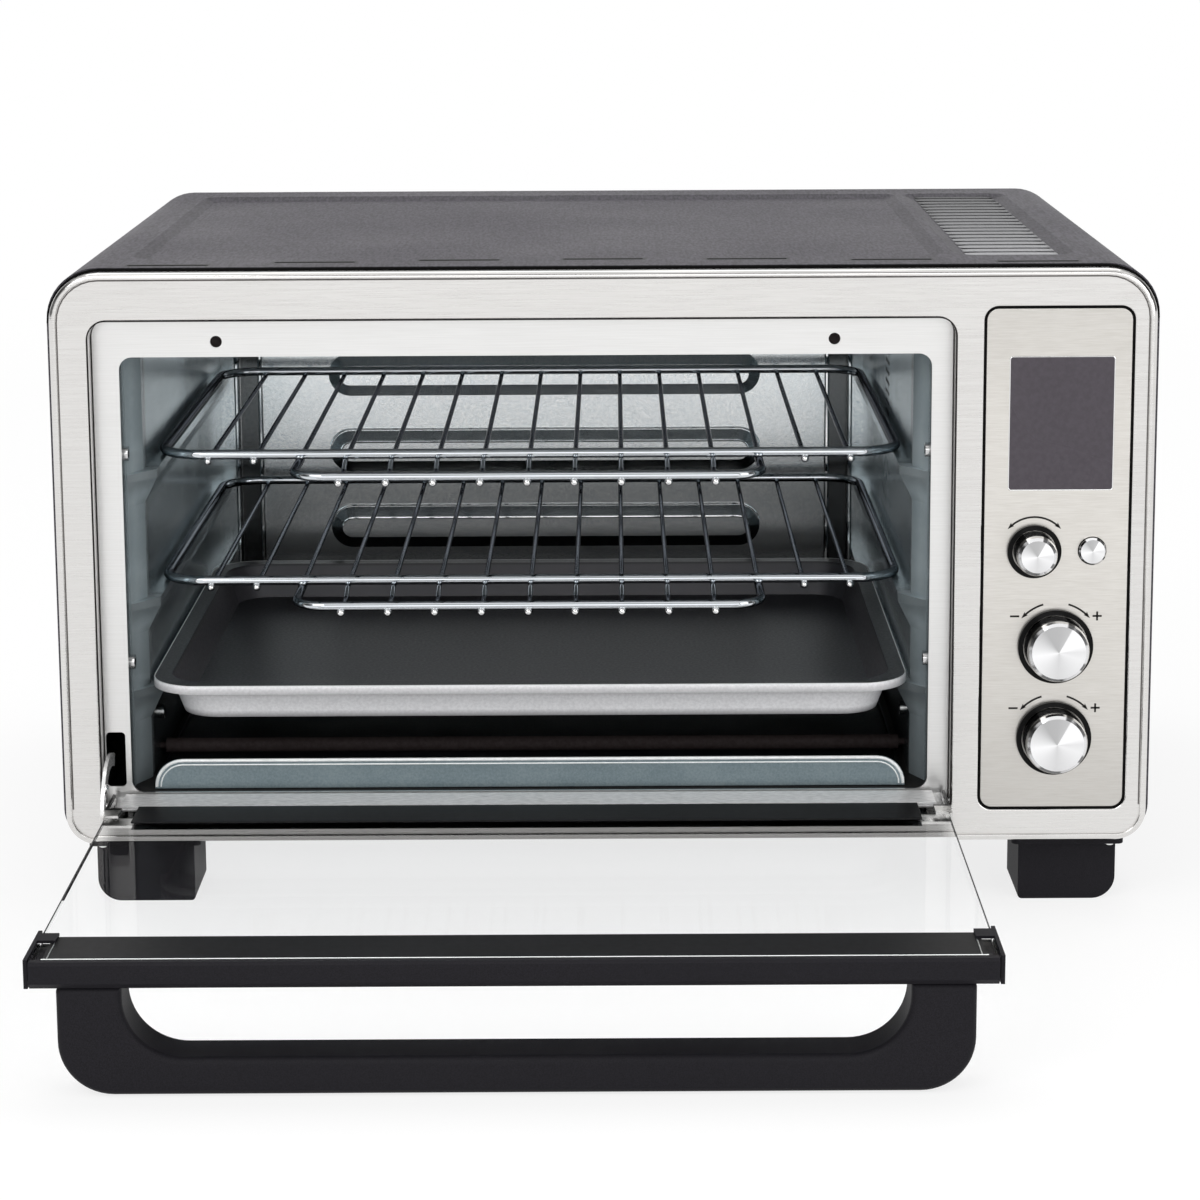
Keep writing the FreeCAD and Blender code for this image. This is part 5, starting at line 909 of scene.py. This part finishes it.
# %% Its thickness, and the row of lips
thick = add_node(tree, "GeometryNodeExtrudeMesh")
thick.inputs["Individual"].default_value = False
tree.links.new(lifted.outputs[0], thick.inputs["Mesh"])
tree.links.new(sizes.outputs["Sheet"], thick.inputs["Offset Scale"])
under = add_node(tree, "GeometryNodeFlipFaces")
tree.links.new(lifted.outputs[0], under.inputs[0])
whole = add_node(tree, "GeometryNodeJoinGeometry")
tree.links.new(thick.outputs["Mesh"], whole.inputs[0])
tree.links.new(under.outputs[0], whole.inputs[0])
lip = add_node(tree, "GeometryNodeMergeByDistance")
tree.links.new(whole.outputs[0], lip.inputs[0])
lip.inputs["Distance"].default_value = 0.00002
row = add_node(tree, "GeometryNodeMeshLine")
tree.links.new(sizes.outputs["Lips"], row.inputs["Count"])
step = add_node(tree, "ShaderNodeCombineXYZ")
tree.links.new(sizes.outputs["Pitch"], step.inputs[1])
tree.links.new(step.outputs[0], row.inputs["Offset"])
copies = copied(tree, row.outputs[0], lip.outputs[0])
closed_off(tree, out, copies.outputs[0], louvre_powder)
lips = grown("louvre_lips", tree, lip_sizes, bpy.data.meshes.new("louvre_seed"))
FIRST_LIP = (191, FACE_Y + 59.3, 300.98)
lips.transform(Matrix.Translation(Vector(FIRST_LIP) * MM))
piece_of("louvre_lips", lips, louvre_powder, "cabinet")

# %% [markdown]
# ### Rounded rod ends
# Where the racks' rods were cut and welded, a small rounded bead of metal catches the light under the front
# wire. The rods' places are known, so a point stands at each end and a small ball is copied there.

# %% Rod ends
bead_sizes = {"Radius": 0.0019}
tree, sizes, out = geometry_tree("rod_bead", bead_sizes)
ball = add_node(tree, "GeometryNodeMeshIcoSphere")
ball.inputs["Subdivisions"].default_value = 3
tree.links.new(sizes.outputs["Radius"], ball.inputs["Radius"])
copies = copied(tree, sizes.outputs["Geometry"], ball.outputs[0])
closed_off(tree, out, copies.outputs[0], bright_chrome)
ROD_PITCH, RACK_MIDDLE, RODS_IN_TONGUE = 21.7, -35.5, 4
for rack, height in (("upper_rack", 208), ("lower_rack", 147)):
    ends = []
    for index in range(-7, 8):
        depth, drop = (15.6, 5.9) if abs(index) <= RODS_IN_TONGUE else (55.6, 2.9)
        ends.append((RACK_MIDDLE + ROD_PITCH * index, depth, height - drop))
    name = rack + "_rod_ends"
    piece_of(name, grown(name, tree, bead_sizes, seed_points(name, ends)), bright_chrome, rack)

# %% [markdown]
# ### Cross recesses
# The screws' heads are plain in the frame. The shade in their cross recess is painted as two short dark bars,
# copied to every head and turned to the side that the head looks to.


# %% Cross recesses
def bar(tree, sizes, turned):
    """A thin bar in the plane of Y and Z: upright when turned, or else level."""
    block = add_node(tree, "GeometryNodeMeshCube")
    size = add_node(tree, "ShaderNodeCombineXYZ")
    long, short = (2, 1) if turned else (1, 2)
    tree.links.new(sizes.outputs["Length"], size.inputs[long])
    tree.links.new(sizes.outputs["Thickness"], size.inputs[short])
    size.inputs[0].default_value = 0.0004
    tree.links.new(size.outputs[0], block.inputs["Size"])
    return block.outputs[0]


cross_sizes = {"Length": 0.0034, "Thickness": 0.0008, "Turn": 0.0}
tree, sizes, out = geometry_tree("cross_recess", cross_sizes)
cross = add_node(tree, "GeometryNodeJoinGeometry")
for turned in (False, True):
    tree.links.new(bar(tree, sizes, turned), cross.inputs[0])
copies = copied(tree, sizes.outputs["Geometry"], cross.outputs[0])
turn = add_node(tree, "ShaderNodeCombineXYZ")
tree.links.new(sizes.outputs["Turn"], turn.inputs[2])
tree.links.new(turn.outputs[0], copies.inputs["Rotation"])
closed_off(tree, out, copies.outputs[0], ring_black)

# %% Places of the screws
FEET_HEIGHT = 35
LIP_SIDES, WALL_SIDES = (-218.5, 147.5), (-212.5, 141.5)
WALL_SCREWS = [(18, 181, LIP_SIDES), (18, 82.6, LIP_SIDES), (65, 46, WALL_SIDES), (130, 46, WALL_SIDES)]
wall_points = [(x, y, FEET_HEIGHT + above) for y, above, sides in WALL_SCREWS for x in sides]
rear_points = [(x, 348.0, FEET_HEIGHT + above) for x in (-241, 241) for above in (30, 130, 230)]
for name, points, turn in (("wall", wall_points, 0.0), ("rear", rear_points, math.pi / 2)):
    mesh = grown(
        name + "_screw_crosses", tree, {**cross_sizes, "Turn": turn}, seed_points(name, points), smooth=False,
    )
    piece_of(name + "_screw_crosses", mesh, ring_black, "cabinet")

# %% [markdown]
# ### Fine holes in the right wall
# Air comes into the cavity through rows of fine holes. Real holes in the mesh would need thousands of faces
# for a few dark dots, so a grid of points carries thin dark discs of painted shade that lie on the sheet.

# %% Fine holes
hole_sizes = {"Rows": 12, "Columns": 4, "Pitch": 0.0052, "Radius": 0.0012}
tree, sizes, out = geometry_tree("fine_holes", hole_sizes)
grid = add_node(tree, "GeometryNodeMeshGrid")
for count, axis in (("Columns", "X"), ("Rows", "Y")):
    gaps = math_node(tree, "SUBTRACT", sizes.outputs[count], 1.0)
    tree.links.new(product(tree, gaps, sizes.outputs["Pitch"]), grid.inputs["Size " + axis])
    tree.links.new(sizes.outputs[count], grid.inputs["Vertices " + axis])
disc = add_node(tree, "GeometryNodeMeshCylinder")
disc.inputs["Vertices"].default_value = 12
disc.inputs["Depth"].default_value = 0.0002
tree.links.new(sizes.outputs["Radius"], disc.inputs["Radius"])
copies = copied(tree, grid.outputs[0], disc.outputs[0])
closed_off(tree, out, copies.outputs[0], ring_black)
holes = grown("fine_holes", tree, hole_sizes, bpy.data.meshes.new("holes_seed"), smooth=False)
holes.transform(Matrix.Rotation(math.pi / 2, 4, "Y"))
holes.transform(Matrix.Rotation(math.pi / 2, 4, "X"))
HOLES_MIDDLE = (143.45, FACE_Y + 170, 236)
holes.transform(Matrix.Translation(Vector(HOLES_MIDDLE) * MM))
piece_of("fine_holes", holes, ring_black, "cabinet")

# %% [markdown]
# ## Beads that follow an edge
# Some edges are polished and show as a thin bright line. Others get a bead of painted light: a pale bead for
# a painted highlight on a fold or a rim, or a dark one for painted shade along the frame's bead, its recess
# or a gap. Each is a curve along the edge, and one tree sweeps a small round profile along it. Its closed
# ends keep it a solid.


# %% Lines along edges
def edge_curve(name, lines, closed=False):
    """Straight-sided splines in one curve. Points are millimetres from the frame's face."""
    curve = bpy.data.curves.new(name, "CURVE")
    curve.dimensions = "3D"
    for points in lines:
        spline = curve.splines.new("POLY")
        spline.points.add(len(points) - 1)
        for point, (x, y, z) in zip(spline.points, points):
            point.co = (x * MM, (y + FACE_Y) * MM, z * MM, 1)
        spline.use_cyclic_u = closed
    return curve


def corner_arc(centre, radius, start, stop, steps=8):
    """Points of an arc in a plane, from start to stop in degrees."""
    angles = [math.radians(start + (stop - start) * i / steps) for i in range(steps + 1)]
    return [(centre[0] + radius * math.cos(a), centre[1] + radius * math.sin(a)) for a in angles]


def rounded_outline(left, right, low, high, radius):
    """Corners of a rounded rectangle, right round, counter-clockwise."""
    spots = [
        (right - radius, low + radius, -90), (right - radius, high - radius, 0),
        (left + radius, high - radius, 90), (left + radius, low + radius, 180),
    ]
    return [point for x, y, start in spots for point in corner_arc((x, y), radius, start, start + 90)]


# %% A bead swept along a line
edge_sizes = {"Radius": 0.0005}
tree, sizes, out = geometry_tree("edge_bead", edge_sizes)
profile = add_node(tree, "GeometryNodeCurvePrimitiveCircle")
profile.inputs["Resolution"].default_value = 10
tree.links.new(sizes.outputs["Radius"], profile.inputs["Radius"])
swept = add_node(tree, "GeometryNodeCurveToMesh")
swept.inputs["Fill Caps"].default_value = True
tree.links.new(sizes.outputs["Geometry"], swept.inputs["Curve"])
tree.links.new(profile.outputs[0], swept.inputs["Profile Curve"])
closed_off(tree, out, swept.outputs[0], bright_chrome)
edge_tree = tree  # kept by its own name, since later cells build other trees


def edge_bead(name, lines, radius, material, body, closed=False):
    """A piece with one bead along each line. The radius is in millimetres."""
    line = edge_curve(name + "_line", lines, closed)
    mesh = grown(name, edge_tree, {"Radius": radius * MM}, line, smooth=False)
    mesh.materials.clear()
    return piece_of(name, mesh, material, body)


# %% [markdown]
# ### Where the beads lie
# The crumb tray's flap has a folded top edge and the tray a rolled rim, and both get a pale bead of painted
# highlight along their edge; the back wall's ribs and channels get painted highlights at their folds. On the
# front, a dark line of painted shade runs round the rolled bead, round the recess and in the gap round the
# panel, and the display's opening has a polished bevel.

# %% Painted highlights on the crumb tray's folded edge
FLAP_BEADS = {"crumb_tray_fold": (12.4, 15.2, 0.8), "crumb_tray_bend": (10.4, 15.0, 0.35)}
# Pale beads for painted highlights along the flap's folded top edge.
for name, (radius, depth, thickness) in FLAP_BEADS.items():
    corners = corner_arc((-197.4, 58.3), radius, 180, 90) + corner_arc((126.4, 58.3), radius, 90, 0)
    flap = [(x, depth, z) for x, z in corners]
    edge_bead(name, [flap], thickness, pale_highlight, "crumb_tray")

# %% Display's bevel and the painted shade lines of the front
bevel = [(x, 0.5, z) for x, z in rounded_outline(183.8, 231.2, 200.3, 261.7, 1.3)]
edge_bead("display_bevel", [bevel], 0.32, bright_chrome, "cabinet", closed=True)
UPPER_CORNERS = slice(9, 27)  # the two upper arcs of an outline, of nine points each
corners = rounded_outline(-246.4, 246.4, 38.6, 298.4, 19)
upper = [(246.4, 52), *corners[UPPER_CORNERS], (-246.4, 52)]
# A dark bead of painted shade along the rolled bead round the frame.
edge_bead("bead_shade_line", [[(x, -0.1, z) for x, z in upper]], 0.3, shade_line_grey, "cabinet")
# The hem bead is partly the shell's own dark edge and partly painted shade in the gap in front of it.
hem = rounded_outline(-251.6, 251.6, 34.8, 302.1, 24)[UPPER_CORNERS]
edge_bead("shell_hem", [[(x, 8.9, z) for x, z in hem]], 0.8, matt_black, "cabinet")
# Dark beads of painted shade along the recess's front edge and its foot, and in the gap round the panel.
shade_lines = {
    "recess_edge": (0.1, rounded_outline(-232.9, 159.4, 46.1, 279.9, 8), 0.3, shade_line_black),
    "recess_foot": (9.5, rounded_outline(-232.8, 159.3, 46.2, 279.8, 8), 0.35, shade_line_black),
    "panel_gap": (0.7, rounded_outline(172.55, 239.45, 50.35, 284.25, 6), 0.62, matt_black),
}
for name, (depth, outline, radius, material) in shade_lines.items():
    line = [(x, depth, z) for x, z in outline]
    edge_bead(name, [line], radius, material, "cabinet", closed=True)

# %% Painted highlights on the tray's rim and the back wall's ribs and channels
# A pale bead for a painted highlight along the tray rim's outer edge.
rim = [(x, y, 106.75) for x, y in rounded_outline(-212.2, 141.2, 12.3, 279.7, 23.7)]
edge_bead("tray_rim_shine", [rim], 0.35, pale_highlight, "baking_tray", closed=True)
rib_lines = []  # along the upper edges of the two lower ribs, outside and inside
for middle in (160.5, 117.3):
    for half_height, inset, depth in ((12, 0, 321.7), (5.5, 6.5, 317.8)):
        ends = corner_arc((-154 + inset + half_height, middle), half_height, 165, 90)
        ends += corner_arc((86 - inset - half_height, middle), half_height, 90, 15)
        rib_lines.append([(x, depth, z) for x, z in ends])
# Bright beads for painted highlights along the ribs' upper edges.
edge_bead("rib_edges", rib_lines, 0.7, metal_highlight, "cabinet")
# Bright beads for painted highlights along the channels' folds.
folds = [[(x, 321.5, 58), (x, 321.5, 270)] for x in (-205.3, -192.1, 123.1, 135.9)]
edge_bead("channel_folds", folds, 1.5, metal_highlight, "cabinet")

# %% Pane's ground edges
# One bright line at the trim, and a thin dark one at each side.
front = [(x, -215.4, 56.75) for x in (-222.5, 151.5)]
edge_bead("pane_front_edge", [front], 0.33, glass_edge, "door")
sides = [[(x, -31, 56.1), (x, -182, 56.1)] for x in (-227.2, 155.7)]
edge_bead("pane_side_edges", sides, 0.3, seal_black, "door")

# %% [markdown]
# ## Flat and folded small parts
# The rest are single small parts: a soft black strip of painted shade and prints on the pane, plates over the
# feet, a rivet on the hinge arm. The flat ones are outlines that are pushed out to a thickness, with a bevel
# where the real edge is rounded. That takes a few faces, where a cut into the parts below would take many.


# %% Plates from outlines
def plate(outlines, lift, bevel=0.0):
    """A mesh of closed plates. Each outline is a list of 3-D points in millimetres, pushed out by lift."""
    shape = bmesh.new()
    for points in outlines:
        ring = [shape.verts.new((x * MM, (y + FACE_Y) * MM, z * MM)) for x, y, z in points]
        face = shape.faces.new(ring)
        pushed = bmesh.ops.extrude_face_region(shape, geom=[face])
        verts = [v for v in pushed["geom"] if isinstance(v, bmesh.types.BMVert)]
        bmesh.ops.translate(shape, verts=verts, vec=Vector(lift) * MM)
    if bevel:
        edges = [edge for edge in shape.edges if edge.calc_face_angle(0) > 1.0]
        bmesh.ops.bevel(shape, geom=edges, offset=bevel * MM, segments=3, affect="EDGES", profile=0.5)
    bmesh.ops.recalc_face_normals(shape, faces=shape.faces)
    mesh = bpy.data.meshes.new("plate")
    shape.to_mesh(mesh)
    shape.free()
    return mesh


# %% Painted shade strip and prints on the pane
PANE_TOP, PANE_FOOT = 56.2, 52.2


def level_band(left, right, near, far, height):
    """Corners of a level rectangle."""
    return [(left, near, height), (left, far, height), (right, far, height), (right, near, height)]


# Painted shade: this black strip on the pane stands for the shaded gap at the door's hinge edge.
strip = plate([level_band(-214.4, 142.9, -11.9, -36, PANE_TOP)], (0, 0, 0.75), 0.3)
piece_of("pane_strip", strip, print_and_shade_black, "door")
# A print under the pane hides the rail's seat when the door is shut.
seat = plate([level_band(-214.4, 142.9, -4.2, -36, PANE_FOOT - 0.02)], (0, 0, -0.12))
piece_of("pane_seat", seat, print_and_shade_black, "door")
# A black print along the far edge hides the trim's ribs. The pane's ground sides shine at its ends.
band = plate([level_band(-222.4, 150.9, -187.6, -215.0, PANE_TOP)], (0, 0, 0.12))
piece_of("pane_print", band, print_and_shade_black, "door")
ground = [[(x, -188.2, 56.35), (x, -214.6, 56.35)] for x in (-220.6, 149.1)]
edge_bead("pane_ground_sides", ground, 0.25, glass_edge, "door")

# %% Foot plates
foot_plates, foot_heads = [], []
for name in FEET:
    low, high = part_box(name)
    left, right = low[0] / MM - 3.5, high[0] / MM + 3.5
    near, far = low[1] / MM - FACE_Y - 3, high[1] / MM - FACE_Y + 3
    foot_plates.append([(x, y, 27.4) for x, y in rounded_outline(left, right, near, far, 3)])
    outer = right - 6.2 if left > 0 else left + 6.2
    foot_heads.append((outer, near + 4.6 if near < 100 else far - 4.6, 27.0))
piece_of("foot_plates", plate(foot_plates, (0, 0, 7.5), 0.3), black_moulding, "cabinet")

# %% Round heads
head_sizes = {"Radius": 0.0027, "Height": 0.0018}
tree, sizes, out = geometry_tree("round_head", head_sizes)
ball = add_node(tree, "GeometryNodeMeshUVSphere")
ball.inputs["Segments"].default_value, ball.inputs["Rings"].default_value = 20, 10
tree.links.new(sizes.outputs["Radius"], ball.inputs["Radius"])
flatter = add_node(tree, "GeometryNodeTransform")
tree.links.new(ball.outputs[0], flatter.inputs["Geometry"])
low_scale = add_node(tree, "ShaderNodeCombineXYZ")
low_scale.inputs[0].default_value = low_scale.inputs[1].default_value = 1.0
tree.links.new(
    math_node(tree, "DIVIDE", sizes.outputs["Height"], sizes.outputs["Radius"]), low_scale.inputs[2],
)
tree.links.new(low_scale.outputs[0], flatter.inputs["Scale"])
copies = copied(tree, sizes.outputs["Geometry"], flatter.outputs[0])
closed_off(tree, out, copies.outputs[0], bright_chrome)
heads = grown("foot_plate_screws", tree, head_sizes, seed_points("foot_heads", foot_heads))
piece_of("foot_plate_screws", heads, bright_chrome, "cabinet")

# %% Rivet on the hinge arm
RIVET_PLACE = (-228.6, FACE_Y - 14, 66)
at_origin = seed_points("rivet", [(0, -FACE_Y, 0)])
rivet = grown("hinge_rivet", tree, {"Radius": 0.0024, "Height": 0.0012}, at_origin)
rivet.transform(Matrix.Rotation(math.pi / 2, 4, "Y"))
rivet.transform(Matrix.Translation(Vector(RIVET_PLACE) * MM))
piece_of("hinge_rivet", rivet, bright_chrome, "door")

# %% [markdown]
# ### The button's spring
# The button's spring is rigid in the frame, so a pressed button would run into it. A copy of its coil, with
# its loose triangles joined, takes its place and rides on the cabinet; it doesn't flatten as the button
# moves.

# %% Button spring
coil = nodes["button_spring"].data.copy()
joined = bmesh.new()
joined.from_mesh(coil)
bmesh.ops.remove_doubles(joined, verts=joined.verts, dist=0.001 * MM)
joined.to_mesh(coil)
joined.free()
spring = piece_of("pressed_spring", coil, rack_chrome, "cabinet")
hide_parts("button_spring")
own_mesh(spring)

# %% [markdown]
# ### Printed marks
# Arcs with arrow tips show which way each knob turns, with a minus and a plus beside the two larger ones.
# Real ones are printed, so these are plates only a tenth of a millimetre thick on the panel's face.


# %% Shapes of the marks
PANEL_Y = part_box("control_panel")[0][1] / MM - FACE_Y
STROKE = 0.85


def arc_mark(centre, radius, start, stop):
    """An arc band from start to stop, in degrees clockwise from the top."""
    outer = corner_arc(centre, radius + STROKE / 2, 90 - start, 90 - stop, 14)
    inner = corner_arc(centre, radius - STROKE / 2, 90 - stop, 90 - start, 14)
    return outer + inner


def tip_mark(centre, radius, angle, way):
    """A slim arrow tip at an arc's end that points further along it. way is 1 clockwise, -1 the other way."""
    turn = math.radians(angle)
    out_dir = Vector((math.sin(turn), math.cos(turn)))
    along = Vector((math.cos(turn), -math.sin(turn))) * way
    end = Vector(centre) + out_dir * radius
    point, notch = end + along * 1.9, end - along * 0.6
    outer, inner = end - along * 1.3 + out_dir * 1.15, end - along * 1.3 - out_dir * 1.0
    return [tuple(corner) for corner in (point, outer, notch, inner)]


def bar_mark(x, z, width, height):
    """A bar about its middle."""
    left, right, low, high = x - width / 2, x + width / 2, z - height / 2, z + height / 2
    return [(left, low), (right, low), (right, high), (left, high)]


# %% Marks on the panel
SMALL_ARC, LARGE_ARC, SIGN = 15.8, 20.3, 4.2  # two radii and the length of a sign
small = KNOB_CENTRES["function_knob"]
marks = [
    arc_mark(small, SMALL_ARC, -43, 43), tip_mark(small, SMALL_ARC, -43, -1),
    tip_mark(small, SMALL_ARC, 43, 1),
]
for name in ("temperature_knob", "time_knob"):
    centre = x, z = KNOB_CENTRES[name]
    marks += [arc_mark(centre, LARGE_ARC, -45, -16.5), arc_mark(centre, LARGE_ARC, 16.5, 45)]
    marks += [tip_mark(centre, LARGE_ARC, -45, -1), tip_mark(centre, LARGE_ARC, 45, 1)]
    marks += [bar_mark(x - 18.8, z + 14, SIGN, STROKE), bar_mark(x + 19, z + 14, SIGN, STROKE)]
    marks += [bar_mark(x + 19, z + 14, STROKE, SIGN)]
outlines = [[(x, PANEL_Y, z) for x, z in outline] for outline in marks]
piece_of("panel_marks", plate(outlines, (0, -0.1, 0)), mark_black, "cabinet")

# %% Finish
bpy.context.scene.view_settings.view_transform = "Standard"
